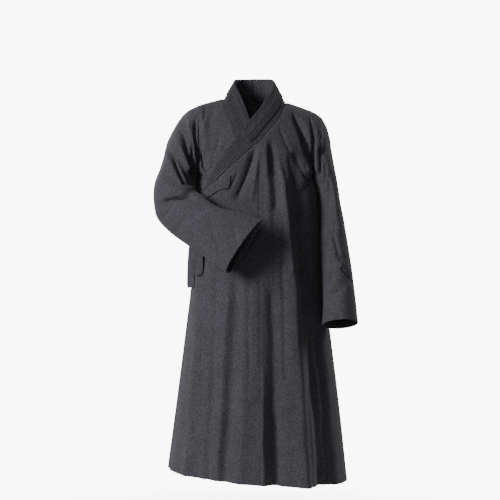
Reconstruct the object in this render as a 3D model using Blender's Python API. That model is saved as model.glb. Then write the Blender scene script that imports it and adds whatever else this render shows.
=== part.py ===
# A Buddhist monk's long gown with a crossed collar, keeping the hollow form in which it is worn.
# Metres. +X is the wearer's left, -Y the front and +Z up. The origin lies between the two points
# where the shoulder seams meet the collar. The right arm is bent across the waist, the left hangs.

import math

import bpy
import numpy as np

CLOTH = 0.002  # milled woollen cloth
BAND = 0.003  # collar band, several layers quilted together
TIE = 0.0025  # doubled cloth of the ties
SEAM = 0.0003  # between two sewn pieces
COLLAR_SEAM = 0.0005
LAYER = 0.009  # between the crossing fronts, middle to middle

ARMHOLE_X = 0.185
ARMPIT_Z = -0.245
ARMHOLE_DEPTH = 0.088
ARMHOLE_ROUND = 0.45  # powers that round a form: small is full, 1 is a ridge
CHEST_DROP = 0.26  # the armhole's fullness starts lower on the chest than at the armpit
CHEST_SOFT = 1.3
WAIST_Z = -0.60
WAIST_ROUND = 2.1
CHEST_FLAT = 0.17
SHOULDER_ROUND = 0.87
SHOULDER_ROLL = 6
SHOULDER_SLOPE = 1.2
FOLD_ROUND = 1.7
SEAM_CALM = 0.035  # folds die out this far below the shoulder seam
HEM_Z = -1.227
HEM_TILT = -0.068  # the raised right shoulder lifts that side of the hem
NECK_X = {-1: 0.106, 1: 0.0965}
NECK_Z = {-1: 0.002, 1: -0.010}
TIP_Z = {-1: -0.018, 1: -0.040}
BACK_NECK_RISE = 0.040
BACK_NECK_DIP = 0.030
BACK_NECK_BLEND = 0.075
CENTRE_SHARE = 0.045  # the centre-front seam, as a share of the half width
CENTRE_TOP = 0.0083
OVERLAP_SHARE = -0.965  # the overlap's free edge, just inside the right side seam
INNER_SHARE = 0.15  # the hidden front's free edge, past the centre
INNER_END_X = 0.030
BAND_END_X = -0.0935
BAND_QUADS = 4
NECK_ROW = 3  # the row of the band tables at the shoulder seam
COLLAR_CORNER = 1.4  # how much wider the collar's gap is where it turns at the shoulder
GUARD_START = 0.27  # the share of the band that the guard leaves bare
GUARD_TOP = 0.985
GUARD_END_X = -0.012
GUARD_STOP_Z = -0.165
KNOT = np.array([-0.2124, -0.032, -0.405])
KNOT_SIZE = np.array([0.014, 0.024, 0.021])
KNOT_TURNS = 3
TIE_BASE_SLACK = 0.0022
SIDE_TIE_SLACK = 0.0016
TIE_WIDTH = {"side": 0.030, "front": 0.042, "back": 0.038}

# How many quads each panel has, across and upwards.
SHOULDER_QUADS = 9
LEFT_NECK_QUADS = 14
FREE_QUADS = 8  # the overlap's free top edge, past the end of the band
OVERLAP_QUADS = 14
INNER_SHOULDER_QUADS = 8
INNER_NECK_QUADS = 20
BACK_NECK_QUADS = 10
LOW_QUADS = 13  # up to the armpit
HIGH_QUADS = 8
OVERLAP_ROWS = 17
SLEEVE_ROWS = 20
SLEEVE_ROUND = 26
INNER_CALM = 0.12  # folds die out toward the edge that lies beside the trunk
TIE_ROWS = 10

CHARCOAL = (0.075, 0.077, 0.085, 1.0)
CHARCOAL_DARK = (0.060, 0.062, 0.069, 1.0)

SIDES = (-1, 1)  # the wearer's right, the wearer's left
FRONT, BACK = -1, 1


def table(columns, *rows):
    """A short table as a dictionary of columns."""
    names = columns.split()
    return {name: np.array([row[i] for row in rows], float) for i, name in enumerate(names)}


# The trunk in level sections, from the hem to the shoulders.
TRUNK = table(
    "z right left front back",
    (-1.26, 0.297, 0.300, -0.236, 0.226),
    (-1.00, 0.262, 0.272, -0.212, 0.194),
    (-0.75, 0.230, 0.241, -0.187, 0.160),
    (-0.60, 0.212, 0.2195, -0.171, 0.140),
    (-0.40, 0.198, 0.2065, -0.152, 0.116),
    (-0.30, 0.1945, 0.1975, -0.143, 0.108),
    (-0.245, 0.185, 0.185, -0.136, 0.106),
    (-0.17, 0.185, 0.185, -0.127, 0.106),
    (-0.10, 0.185, 0.185, -0.114, 0.102),
    (-0.03, 0.185, 0.185, -0.096, 0.096),
    (0.05, 0.185, 0.185, -0.080, 0.090),
)

# The seam of the collar on each front, as seen from the front, from the neck to the lower end.
SEAM_OUTER = table(
    "x z",
    (-0.200, -0.324),
    (-0.172, -0.3065),
    (-0.104, -0.3010),
    (-0.0935, -0.2965),
    (-0.0825, -0.273),
    (-0.054, -0.232),
    (-0.032, -0.203),
    (-0.007, -0.168),
    (0.020, -0.137),
    (0.044, -0.107),
    (0.064, -0.083),
    (0.082, -0.054),
    (0.0965, -0.010),
)
SEAM_INNER = table(
    "x z",
    (-0.106, 0.002),
    (-0.103, -0.030),
    (-0.085, -0.080),
    (-0.070, -0.121),
    (-0.055, -0.158),
    (-0.028, -0.215),
    (0.030, -0.326),
)

# Folds, each a line seen from the front or the back. A depth is inwards, so a ridge is negative.
# The reach is how far the fold spreads on the side of smaller and of larger x.
FOLD_COLUMNS = "x0 z0 x1 z1 bow depth0 depth1 low high"
FRONT_FOLDS = table(
    FOLD_COLUMNS,
    # the fan below the collar
    (-0.002, -0.172, -0.060, -0.330, 0.004, 0.010, 0.006, 0.024, 0.022),
    (0.043, -0.150, 0.062, -0.360, 0.004, 0.010, 0.007, 0.020, 0.026),
    (0.022, -0.150, 0.045, -0.420, 0.000, -0.006, -0.005, 0.022, 0.020),
    # the ridge down the left front, its groove toward the seam and the deep one behind it
    (0.078, -0.250, 0.150, -1.300, 0.006, -0.006, -0.024, 0.060, 0.034),
    (0.108, -0.170, 0.212, -1.300, -0.018, 0.012, 0.024, 0.034, 0.060),
    (0.052, -0.620, 0.060, -1.300, 0.004, 0.004, 0.020, 0.044, 0.040),
    (0.010, -0.800, 0.016, -1.300, 0.000, -0.002, -0.007, 0.050, 0.028),
    # the broad soft folds of the overlap
    (-0.060, -0.560, -0.112, -1.300, 0.006, 0.005, 0.013, 0.046, 0.052),
    (-0.150, -0.640, -0.190, -1.300, 0.000, 0.003, 0.008, 0.040, 0.040),
    (-0.030, -0.620, -0.052, -1.300, 0.000, -0.002, -0.008, 0.050, 0.048),
    # the drag lines round the left armhole
    (0.116, -0.050, 0.176, -0.210, 0.006, 0.010, 0.012, 0.020, 0.024),
    (0.190, -0.070, 0.192, -0.200, 0.006, 0.004, 0.004, 0.026, 0.026),
    # the drag lines round the right armhole
    (-0.186, -0.052, -0.166, -0.235, -0.010, 0.010, 0.012, 0.020, 0.024),
    (-0.150, -0.030, -0.152, -0.100, 0.000, 0.006, 0.003, 0.020, 0.020),
)
BACK_FOLDS = table(
    FOLD_COLUMNS,
    (-0.150, -0.120, -0.110, -0.420, 0.010, 0.010, 0.006, 0.026, 0.026),
    (0.150, -0.120, 0.120, -0.420, -0.010, 0.010, 0.006, 0.026, 0.026),
    (-0.085, -0.380, -0.160, -1.300, 0.010, 0.005, 0.024, 0.055, 0.050),
    (-0.030, -0.420, -0.045, -1.300, 0.000, -0.004, -0.018, 0.050, 0.050),
    (0.050, -0.400, 0.070, -1.300, 0.008, 0.005, 0.022, 0.050, 0.046),
    (0.110, -0.420, 0.150, -1.300, 0.000, -0.004, -0.018, 0.050, 0.050),
    (0.165, -0.500, 0.225, -1.300, 0.000, 0.004, 0.018, 0.045, 0.045),
    (-0.176, -0.120, -0.170, -0.225, 0.000, 0.006, 0.008, 0.024, 0.024),
    (0.176, -0.120, 0.170, -0.225, 0.000, 0.006, 0.008, 0.024, 0.024),
)
RIGHT_SLEEVE_FOLDS = table(
    FOLD_COLUMNS,
    (-0.240, -0.095, -0.184, -0.270, 0.008, 0.010, 0.016, 0.024, 0.024),
    (-0.284, -0.160, -0.190, -0.298, 0.004, 0.010, 0.016, 0.024, 0.024),
    (-0.176, -0.312, -0.286, -0.345, 0.006, 0.014, 0.010, 0.024, 0.024),
    (-0.128, -0.352, -0.200, -0.385, 0.000, 0.008, 0.004, 0.020, 0.020),
)
LEFT_SLEEVE_FOLDS = table(
    FOLD_COLUMNS,
    (0.222, -0.200, 0.228, -0.420, 0.006, 0.010, 0.010, 0.024, 0.026),
    (0.222, -0.560, 0.272, -0.520, 0.004, 0.010, 0.006, 0.024, 0.024),
    (0.222, -0.660, 0.276, -0.600, 0.004, 0.008, 0.005, 0.024, 0.024),
)
RIGHT_ELBOW_FOLDS = table(
    FOLD_COLUMNS,
    (-0.236, -0.120, -0.206, -0.270, 0.004, 0.008, 0.010, 0.024, 0.024),
    (-0.270, -0.200, -0.220, -0.310, 0.004, 0.008, 0.010, 0.024, 0.024),
)
LEFT_ELBOW_FOLDS = table(
    FOLD_COLUMNS,
    (0.226, -0.160, 0.212, -0.330, 0.004, 0.008, 0.010, 0.024, 0.024),
    (0.228, -0.360, 0.275, -0.470, 0.000, 0.008, 0.005, 0.024, 0.024),
)

# Sleeve sections from the armhole to the cuff: the outer and the inner edge of each, how far its
# walls stand off the line between them, and what shifts the fullness toward the inner edge.
SLEEVE_COLUMNS = "ox oy oz ix iy iz front back pull ends"
RIGHT_SLEEVE = table(
    SLEEVE_COLUMNS,
    (-0.185, 0.000, -0.018, -0.185, 0.000, -0.245, 0.088, 0.088, 1.00, 0.45),
    (-0.232, 0.002, -0.043, -0.192, -0.004, -0.262, 0.086, 0.084, 1.00, 0.45),
    (-0.272, 0.004, -0.098, -0.1945, -0.016, -0.278, 0.082, 0.074, 1.00, 0.47),
    (-0.297, 0.004, -0.155, -0.1955, -0.040, -0.292, 0.078, 0.062, 1.00, 0.48),
    (-0.309, 0.002, -0.230, -0.1925, -0.080, -0.303, 0.074, 0.050, 1.00, 0.50),
    (-0.320, -0.004, -0.305, -0.1890, -0.118, -0.311, 0.068, 0.042, 0.95, 0.50),
    (-0.311, -0.018, -0.385, -0.174, -0.150, -0.320, 0.062, 0.032, 0.90, 0.50),
    (-0.272, -0.056, -0.434, -0.150, -0.178, -0.342, 0.054, 0.026, 0.85, 0.52),
    (-0.207, -0.124, -0.482, -0.112, -0.202, -0.364, 0.048, 0.024, 0.80, 0.52),
    (-0.148, -0.178, -0.524, -0.050, -0.218, -0.379, 0.042, 0.026, 0.75, 0.54),
    (-0.089, -0.212, -0.566, 0.015, -0.240, -0.403, 0.038, 0.030, 0.70, 0.54),
)
LEFT_SLEEVE = table(
    SLEEVE_COLUMNS,
    (0.185, 0.000, -0.040, 0.185, 0.000, -0.245, 0.088, 0.088, 1.00, 0.45),
    (0.214, 0.000, -0.060, 0.1925, 0.000, -0.262, 0.088, 0.088, 1.00, 0.45),
    (0.234, 0.000, -0.096, 0.1980, 0.000, -0.282, 0.087, 0.087, 1.00, 0.49),
    (0.247, -0.003, -0.160, 0.2037, -0.004, -0.312, 0.086, 0.085, 1.00, 0.53),
    (0.259, -0.008, -0.240, 0.2069, -0.012, -0.350, 0.085, 0.082, 1.00, 0.55),
    (0.270, -0.016, -0.330, 0.2095, -0.024, -0.400, 0.083, 0.078, 1.00, 0.54),
    (0.285, -0.030, -0.415, 0.2122, -0.042, -0.455, 0.080, 0.074, 1.00, 0.50),
    (0.297, -0.048, -0.490, 0.2140, -0.062, -0.515, 0.078, 0.072, 1.00, 0.50),
    (0.308, -0.072, -0.570, 0.2160, -0.088, -0.585, 0.076, 0.070, 1.00, 0.50),
    (0.316, -0.098, -0.655, 0.217, -0.114, -0.662, 0.075, 0.069, 1.00, 0.48),
    (0.322, -0.118, -0.733, 0.212, -0.136, -0.731, 0.075, 0.069, 1.00, 0.46),
)

# The collar band round the neck and down each front: its seam edge and its free edge. Where the
# band lies on the chest the depth comes from the front itself.
BAND_COLUMNS = "sx sy sz fx fy fz"
BAND_OUTER = table(
    BAND_COLUMNS,
    (0.000, 0.080, 0.004, -0.008, 0.066, 0.078),
    (0.052, 0.068, 0.001, 0.022, 0.059, 0.077),
    (0.086, 0.036, -0.005, 0.046, 0.034, 0.073),
    (0.0965, 0.000, -0.010, 0.056, 0.003, 0.061),
    (0.093, -0.050, -0.026, 0.050, -0.030, 0.030),
    (0.082, -0.082, -0.054, 0.032, -0.057, 0.000),
    (0.064, -0.100, -0.083, 0.012, -0.082, -0.035),
    (0.044, -0.110, -0.107, -0.010, -0.102, -0.063),
    (0.0105, -0.122, -0.147, -0.042, -0.118, -0.110),
    (-0.018, -0.130, -0.182, -0.072, -0.124, -0.147),
    (-0.054, -0.134, -0.232, -0.108, -0.124, -0.195),
    (-0.0935, -0.136, -0.2965, -0.172, -0.092, -0.302),
)
BAND_INNER = table(
    BAND_COLUMNS,
    (0.000, 0.080, 0.004, -0.008, 0.066, 0.078),
    (-0.054, 0.070, 0.004, -0.040, 0.059, 0.076),
    (-0.092, 0.038, 0.003, -0.063, 0.034, 0.072),
    (-0.106, 0.000, 0.002, -0.069, 0.000, 0.060),
    (-0.103, -0.050, -0.030, -0.055, -0.034, 0.022),
    (-0.085, -0.088, -0.080, -0.038, -0.066, -0.022),
    (-0.070, -0.104, -0.121, -0.020, -0.088, -0.073),
    (-0.055, -0.115, -0.158, -0.002, -0.104, -0.120),
    (-0.028, -0.123, -0.215, 0.024, -0.116, -0.176),
    (0.030, -0.130, -0.326, 0.080, -0.120, -0.286),
)

# The tie base as a share of the trunk's half width, and the two ends from the knot downwards. The
# knot sets where each end begins.
TIE_BASE = table(
    "share z width",
    (-0.44, -0.278, 0.0400),
    (-0.62, -0.286, 0.0373),
    (-0.80, -0.312, 0.0347),
    (-0.93, -0.350, 0.0320),
)
TIE_TAPER = table("share", (0.36,), (0.8,), (1.0,), (1.0,))
FRONT_END = table(
    "x y z facing_x facing_y facing_z",
    (0.0, 0.0, 0.0, -0.9, -0.40, 0.1),
    (-0.204, -0.082, -0.470, -0.5, -0.90, 0.1),
    (-0.190, -0.102, -0.520, -0.4, -0.92, 0.0),
    (-0.1905, -0.100, -0.575, -0.4, -0.92, 0.0),
)
BACK_END = table(
    "x y z facing_x facing_y facing_z",
    (0.0, 0.0, 0.0, -0.95, -0.20, 0.0),
    (-0.214, -0.040, -0.490, -0.80, -0.60, 0.0),
    (-0.2125, -0.058, -0.617, -0.75, -0.66, 0.0),
)


def smooth(x, xs, ys):
    """A smooth curve through a table's points that never overshoots them."""
    x = np.clip(np.asarray(x, float), xs[0], xs[-1])
    slopes = np.diff(ys) / np.diff(xs)
    tangents = np.zeros(len(xs))
    tangents[0], tangents[-1] = slopes[0], slopes[-1]
    same_way = slopes[1:] * slopes[:-1] > 0
    both = slopes[1:] + slopes[:-1]
    tangents[1:-1] = np.where(same_way, 2 * slopes[1:] * slopes[:-1] / np.where(both == 0, 1, both), 0)
    i = np.clip(np.searchsorted(xs, x, side="right") - 1, 0, len(xs) - 2)
    span = xs[i + 1] - xs[i]
    t = (x - xs[i]) / span
    from_start = (1 + 2 * t) * (1 - t) ** 2 * ys[i] + t * (1 - t) ** 2 * span * tangents[i]
    from_end = t * t * (3 - 2 * t) * ys[i + 1] + t * t * (t - 1) * span * tangents[i + 1]
    return from_start + from_end


def ease(t):
    t = np.clip(t, 0, 1)
    return t * t * (3 - 2 * t)


def fold_depth(folds, x, z):
    """How far the folds of a table push the cloth in at the points x, z."""
    total = np.zeros(np.broadcast(x, z).shape)
    for i in range(len(folds["x0"])):
        f = {name: column[i] for name, column in folds.items()}
        run_x, run_z = f["x1"] - f["x0"], f["z1"] - f["z0"]
        length = math.hypot(run_x, run_z)
        along = ((x - f["x0"]) * run_x + (z - f["z0"]) * run_z) / length**2
        t = np.clip(along, 0, 1)
        aside = ((z - f["z0"]) * run_x - (x - f["x0"]) * run_z) / length
        aside = aside - f["bow"] * 4 * t * (1 - t)
        reach = np.where(aside < 0, f["low"], f["high"])
        across = np.clip(1 - np.abs(aside) / reach, 0, 1) ** FOLD_ROUND
        past = np.abs(along - t) * length
        ends = ease(1 - past / (0.8 * f["low"])) * ease(0.25 + t * length / 0.05)
        total = total + (f["depth0"] + (f["depth1"] - f["depth0"]) * t) * across * ends
    return total


def half_width(x, z):
    """Half of the trunk's width on the side where x lies."""
    return np.where(x < 0, smooth(z, TRUNK["z"], TRUNK["right"]), smooth(z, TRUNK["z"], TRUNK["left"]))


def by_side(x, values):
    return np.where(x < 0, values[-1], values[1])


def crown_z(x, sheet):
    """Height of the shoulder line above a point, with the rise behind the neck."""
    neck = by_side(x, NECK_X)
    top, tip = by_side(x, NECK_Z), by_side(x, TIP_Z)
    out = np.clip((np.abs(x) - neck) / (ARMHOLE_X - neck), 0, 1)
    line = top + (tip - top) * out**SHOULDER_SLOPE
    if sheet == BACK:
        line = line + BACK_NECK_RISE * ease(1 - np.abs(x) / neck)
    return line


def back_neck_z(x):
    level = (NECK_Z[-1] + NECK_Z[1]) / 2 - by_side(x, NECK_Z)
    level = level * ease(1 - np.abs(x) / BACK_NECK_BLEND)
    return crown_z(x, BACK) + level - BACK_NECK_DIP * (1 - (x / by_side(x, NECK_X)) ** 2)


def top_line(seam, x, sheet=FRONT):
    """The top edge of a panel: the collar's seam, and the shoulder beyond it."""
    beyond = np.abs(x) >= by_side(x, NECK_X) - 1e-9
    beyond = beyond & ((x < 0) == (seam["z"][0] > seam["z"][-1])) if seam else beyond
    inside = smooth(x, seam["x"], seam["z"]) if seam else back_neck_z(x)
    return np.where(beyond, crown_z(x, sheet), inside)


def trunk_point(x, z, sheet, out=0.0, folded=True):
    """The cloth of the trunk at x, z, moved outwards by a distance and inwards by the folds."""
    x, z = np.broadcast_arrays(np.asarray(x, float), np.asarray(z, float))
    centre = smooth(z, TRUNK["z"], TRUNK["front" if sheet == FRONT else "back"])
    share = np.clip(np.abs(x) / half_width(x, z), 0, 1)
    up = np.clip((z - ARMPIT_Z) / (crown_z(x, sheet) - ARMPIT_Z), 0, 1)
    centre = centre * np.sqrt(1 - up**SHOULDER_ROLL)
    inset = 1 - share
    start = ARMPIT_Z - CHEST_DROP * inset
    edge_up = np.clip((z - start) / (crown_z(x, sheet) - start), 0, 1)
    edge = sheet * ARMHOLE_DEPTH * (4 * edge_up * (1 - edge_up)) ** (ARMHOLE_ROUND + CHEST_SOFT * inset)
    power = 1 / WAIST_ROUND - CHEST_FLAT * ease((z - WAIST_Z) / (ARMPIT_Z - WAIST_Z))
    power = power + (SHOULDER_ROUND - power) * ease(up / 0.3)
    y = edge + (centre - edge) * (1 - share**WAIST_ROUND) ** power
    beside = share**3 * np.sign(x) * ease((ARMPIT_Z + 0.02 - z) / 0.06)
    normal = unit(np.stack([beside, sheet * (1 - share**4) + sheet * 1e-6, 0 * z], -1))
    push = np.asarray(out, float) + 0 * x
    if folded:
        calm_side = ease((1 - share) / 0.05)
        calm_side = calm_side + (1 - calm_side) * ease((z - ARMPIT_Z) / 0.03)
        calm_top = ease((crown_z(x, sheet) - z) / SEAM_CALM)
        folds = FRONT_FOLDS if sheet == FRONT else BACK_FOLDS
        push = push - fold_depth(folds, x, z) * calm_side * calm_top
    return np.stack([x, y, z], -1) + normal * push[..., None]


def hem_z(x):
    return HEM_Z + HEM_TILT * x


def unit(v):
    return v / np.maximum(np.linalg.norm(v, axis=-1, keepdims=True), 1e-12)


def grid_normals(points, closed=False):
    """Directions at the points of a grid, columns crossed with rows."""
    across = np.gradient(points, axis=1)
    if closed:
        across = (np.roll(points, -1, axis=1) - np.roll(points, 1, axis=1)) / 2
    return unit(np.cross(across, np.gradient(points, axis=0)))


def path_length(points):
    return np.concatenate([[0], np.cumsum(np.linalg.norm(np.diff(points, axis=0), axis=1))])


def spread(start, end, line, sheet, count):
    """Places along a top line, evenly spaced on the cloth, from one x to another."""
    t = np.linspace(0, 1, 600)
    x = start + (end - start) * ease(ease(t))
    points = trunk_point(x, line(x), sheet, folded=False)
    length = path_length(points)
    return np.interp(np.linspace(0, length[-1], count + 1), length, x)


def panel(tops, line, shares, sheet, rows_low, rows_high, level=None):
    """A grid on the trunk between two upright lines, from the hem to the points of its top line."""
    z_top = line(tops)
    z_mid = np.minimum(ARMPIT_Z, z_top - 0.06) if rows_high else z_top
    low = np.linspace(0, 1, rows_low + 1)[:, None]
    x_hem = shares * half_width(shares, np.full(len(shares), HEM_Z))
    z = hem_z(x_hem) + (z_mid - hem_z(x_hem)) * low
    x = shares * half_width(shares + 0 * z, z)
    if rows_high:
        step = (1 - np.cos(np.pi * np.arange(1, rows_high + 1) / rows_high))[:, None] / 2
        x_mid = shares * half_width(shares, z_mid)
        z = np.concatenate([z, z_mid + (z_top - z_mid) * step])
        x = np.concatenate([x, x_mid + (tops - x_mid) * (1 - np.sqrt(1 - step))])
    points = trunk_point(x, z, sheet, level(x, z) if level else 0.0)
    normals = grid_normals(points) * np.sign(-sheet * (shares[-1] - shares[0]))
    return points, normals


def square_edge(grid, column, axis, inward, rows=slice(None)):
    """Turns an edge into the plane of its seam and draws it back by half of the gap."""
    points, normals = grid
    normals[rows, column, axis] = 0
    normals[rows, column] = unit(normals[rows, column])
    points[rows, column, axis] += inward * SEAM / 2


def side_edge(grid, column, sheet):
    """The side seam below the armpit, the armhole above it."""
    points, normals = grid
    inward = -np.sign(points[0, column, 0])
    armpit = LOW_QUADS
    square_edge(grid, column, 1, sheet, slice(0, armpit + 1))
    square_edge(grid, column, 0, inward, slice(armpit + 1, None))
    beside = column + 1 if column == 0 else column - 1
    points[armpit, column, 0] += inward * (CLOTH + SEAM) / 2
    points[armpit : armpit + 2, beside, 0] += inward * (CLOTH + SEAM) / 2
    normals[armpit, column] = unit(np.array([-inward, 0, -0.8]))


def shoulder_edge(grid, sheet):
    points, normals = grid
    x = points[-1, :, 0]
    on = np.abs(x) > by_side(x, NECK_X) - 1e-6
    normals[-1, on, 1] = 0
    normals[-1, on, 0] *= 0.3
    normals[-1, on, 2] = 1
    points[-1, on, 1] += sheet * SEAM / 2
    normals[-1] = unit(normals[-1])


def ring_grid(chart, side, fold_tables):
    """A sleeve as rings between its outer and inner edge, from the armhole to the cuff."""
    outer = np.stack([chart["ox"], chart["oy"], chart["oz"]], -1)
    inner = np.stack([chart["ix"], chart["iy"], chart["iz"]], -1)
    steps = np.linalg.norm(np.diff(outer, axis=0), axis=1) + np.linalg.norm(np.diff(inner, axis=0), axis=1)
    at = np.concatenate([[0], np.cumsum(steps)])
    where = np.linspace(0, at[-1], SLEEVE_ROWS + 1)
    get = lambda values: smooth(where, at, values)
    outer = np.stack([get(outer[:, k]) for k in range(3)], -1)
    inner = np.stack([get(inner[:, k]) for k in range(3)], -1)
    middle = (outer + inner) / 2
    across = unit(inner - outer)
    front = unit(np.cross(np.gradient(middle, axis=0), across))
    front *= np.where(front[:, 1:2] > 0, -1, 1)
    front[0] = (0, -1, 0)
    angle = 2 * np.pi * np.arange(SLEEVE_ROUND) / SLEEVE_ROUND
    share = (1 - np.cos(angle)) / 2
    full = share[None, :] ** get(chart["pull"])[:, None]
    lift = (4 * full * (1 - full)).clip(0, 1) ** get(chart["ends"])[:, None]
    stand = np.where(angle < np.pi, get(chart["front"])[:, None], -get(chart["back"])[:, None])
    base = outer[:, None] + (inner - outer)[:, None] * share[None, :, None]
    points = base + front[:, None] * (lift * stand)[..., None]
    ring_x = side * ARMHOLE_X
    sheets = np.where(angle < np.pi, FRONT, BACK)
    start = points[0].copy()
    for k, sheet in enumerate(sheets):
        start[k] = trunk_point(ring_x, points[0, k, 2], sheet)
    if side < 0:
        points, start, sheets = points[:, ::-1], start[::-1], sheets[::-1]
    normals = grid_normals(points, closed=True)
    near = ease(np.linalg.norm(middle - middle[0], axis=1) / 0.05)[:, None]
    depth = np.zeros(points.shape[:2])
    for k, sheet in enumerate(sheets):
        facing = np.clip(normals[:, k, 1] * sheet, 0, 1) ** 0.5
        calm = facing * ease((1 - share[k]) / INNER_CALM)
        depth[:, k] = fold_depth(fold_tables[sheet], points[:, k, 0], points[:, k, 2]) * calm
    moved = points - normals * (depth * near)[..., None]
    moved = moved + (start - points[0])[None] * (1 - near)[..., None]
    normals = grid_normals(moved, closed=True)
    normals[0, :, 0] = 0
    normals[0] = unit(normals[0])
    moved[0, :, 0] = side * (ARMHOLE_X + SEAM / 2)
    return moved, normals


def band_grid(seam, neck_row, chart, level, columns, order):
    """A half of the collar band, from the points of its seam to the free edge of its table."""
    line = np.stack([chart["sx"], chart["sy"], chart["sz"]], -1)
    free = np.stack([chart["fx"], chart["fy"], chart["fz"]], -1)
    at = path_length(line)
    along = path_length(seam)
    at_neck, along_neck = at[NECK_ROW], along[neck_row]
    front = at[-1] + (at_neck - at[-1]) * along / along_neck
    back = at_neck * (1 - (along - along_neck) / (along[-1] - along_neck))
    place = np.where(along < along_neck, front, back)
    edge = np.stack([smooth(place, at, free[:, k]) for k in range(3)], -1)
    w = np.linspace(0, 1, columns + 1)[None, :, None]
    stand = seam[:, None] + (edge - seam)[:, None] * w
    chest = trunk_point(stand[..., 0], stand[..., 2], FRONT, level)
    rise = ease((seam[:, 2] + 0.150) / 0.09)[:, None, None]
    rise = np.maximum(rise, ease((seam[:, 1] + 0.03) / 0.03)[:, None, None])
    offset = (seam[:, None] - chest[:, :1]) * (1 - w) * (1 - rise)
    points = chest * (1 - rise) + stand * rise + offset
    if order < 0:
        points = points[:, ::-1]
    return points, grid_normals(points)


def join_band(band, column, owners, neck_row):
    """Gives the band's seam edge and the panels' edge one direction, and parts them by the gap."""
    points, normals = band
    shared = np.zeros((len(owners), 3))
    for r, row in enumerate(owners):
        for grid, c in row:
            shared[r] += grid[1][-1, c] / len(row)
        shared[r] = unit(shared[r] + normals[r, column])
        for grid, c in row:
            shared[r][grid[1][-1, c] == 0] = 0
        shared[r] = unit(shared[r])
        for grid, c in row:
            grid[1][-1, c] = shared[r]
    inner = points[:, 1] if column == 0 else points[:, -2]
    along = np.gradient(points[:, column], axis=0)
    aside = unit(np.cross(shared, along))
    aside *= np.sign(np.sum(aside * (inner - points[:, column]), axis=1))[:, None]
    turn = 1 + COLLAR_CORNER * np.exp(-(((np.arange(len(owners)) - neck_row) / 1.5) ** 2))
    points[:, column] += aside * (COLLAR_SEAM * turn)[:, None]
    normals[:, column] = shared


def material_for(colour):
    name = "wool_%03d" % round(colour[0] * 1000)
    material = bpy.data.materials.get(name)
    if material is None:
        material = bpy.data.materials.new(name)
        material.use_nodes = True
        shader = material.node_tree.nodes["Principled BSDF"]
        shader.inputs["Base Color"].default_value = colour
        shader.inputs["Roughness"].default_value = 0.9
        shader.inputs["Metallic"].default_value = 0.0
    return material


def new_object(name, points, faces, colour):
    mesh = bpy.data.meshes.new(name)
    mesh.from_pydata([tuple(p) for p in points], [], faces)
    mesh.update()
    mesh.materials.append(material_for(colour))
    mesh.shade_smooth()
    mesh.set_sharp_from_angle(angle=math.radians(50))
    obj = bpy.data.objects.new(name, mesh)
    bpy.context.scene.collection.objects.link(obj)
    return obj


def wall(name, grid, thick, colour=CHARCOAL, closed=False):
    """A sheet of cloth with its thickness, from a grid of points on its middle."""
    points, normals = grid
    rows, columns = points.shape[:2]
    outer = (points + normals * thick / 2).reshape(-1, 3)
    inner = (points - normals * thick / 2).reshape(-1, 3)
    shift = rows * columns
    faces = []
    last = columns if closed else columns - 1
    for r in range(rows - 1):
        for c in range(last):
            a, b = r * columns + c, r * columns + (c + 1) % columns
            d, e = a + columns, b + columns
            faces += [(a, b, e), (a, e, d)]
            faces += [(a + shift, e + shift, b + shift), (a + shift, d + shift, e + shift)]
    top = (rows - 1) * columns
    for c in range(last):
        a, b = c, (c + 1) % columns
        faces += [(a, a + shift, b + shift, b)]
        faces += [(top + b, top + b + shift, top + a + shift, top + a)]
    if not closed:
        for r in range(rows - 1):
            a, b = r * columns, (r + 1) * columns
            end_a, end_b = a + columns - 1, b + columns - 1
            faces += [(b, b + shift, a + shift, a), (end_a, end_a + shift, end_b + shift, end_b)]
    return new_object(name, np.concatenate([outer, inner]), faces, colour)


def ribbon(name, path, facing, width, columns=2, narrow=None):
    """A flat tie along a path, each of its points facing a direction."""
    path, facing = np.asarray(path, float), unit(np.asarray(facing, float))
    along = unit(np.gradient(path, axis=0))
    aside = unit(np.cross(facing, along))
    facing = unit(np.cross(along, aside))
    width = np.full(len(path), width) if narrow is None else width * np.asarray(narrow, float)
    across = np.linspace(-0.5, 0.5, columns + 1)[None, :, None]
    points = path[:, None] + aside[:, None] * across * width[:, None, None]
    normals = np.repeat(facing[:, None], columns + 1, axis=1)
    flip = np.sum(grid_normals(points) * normals) < 0
    if flip:
        points, normals = points[:, ::-1], normals[:, ::-1]
    return wall(name, (points, normals), TIE)


def resample(path, count):
    """A smooth path through a few points."""
    path = np.asarray(path, float)
    at = path_length(path)
    where = np.linspace(0, at[-1], count)
    return np.stack([smooth(where, at, path[:, k]) for k in range(path.shape[1])], -1)


def sines(start, end, count):
    """Shares of the half width, evenly spaced round the trunk."""
    return np.sin(np.linspace(math.asin(start), math.asin(end), count + 1))


def inner_level(x, z):
    """How far the hidden front lies under the outer one, coming out to the side seam and armhole."""
    share = np.abs(x) / half_width(x, z)
    low = ease((1 - share) / 0.03)
    high = ease((x + ARMHOLE_X) / 0.045)
    mix = ease((z - ARMPIT_Z) / 0.03)
    weight = np.where(x < 0, low + (high - low) * mix, 1)
    return -LAYER * weight * ease((crown_z(x, FRONT) - z) / 0.09)


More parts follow.
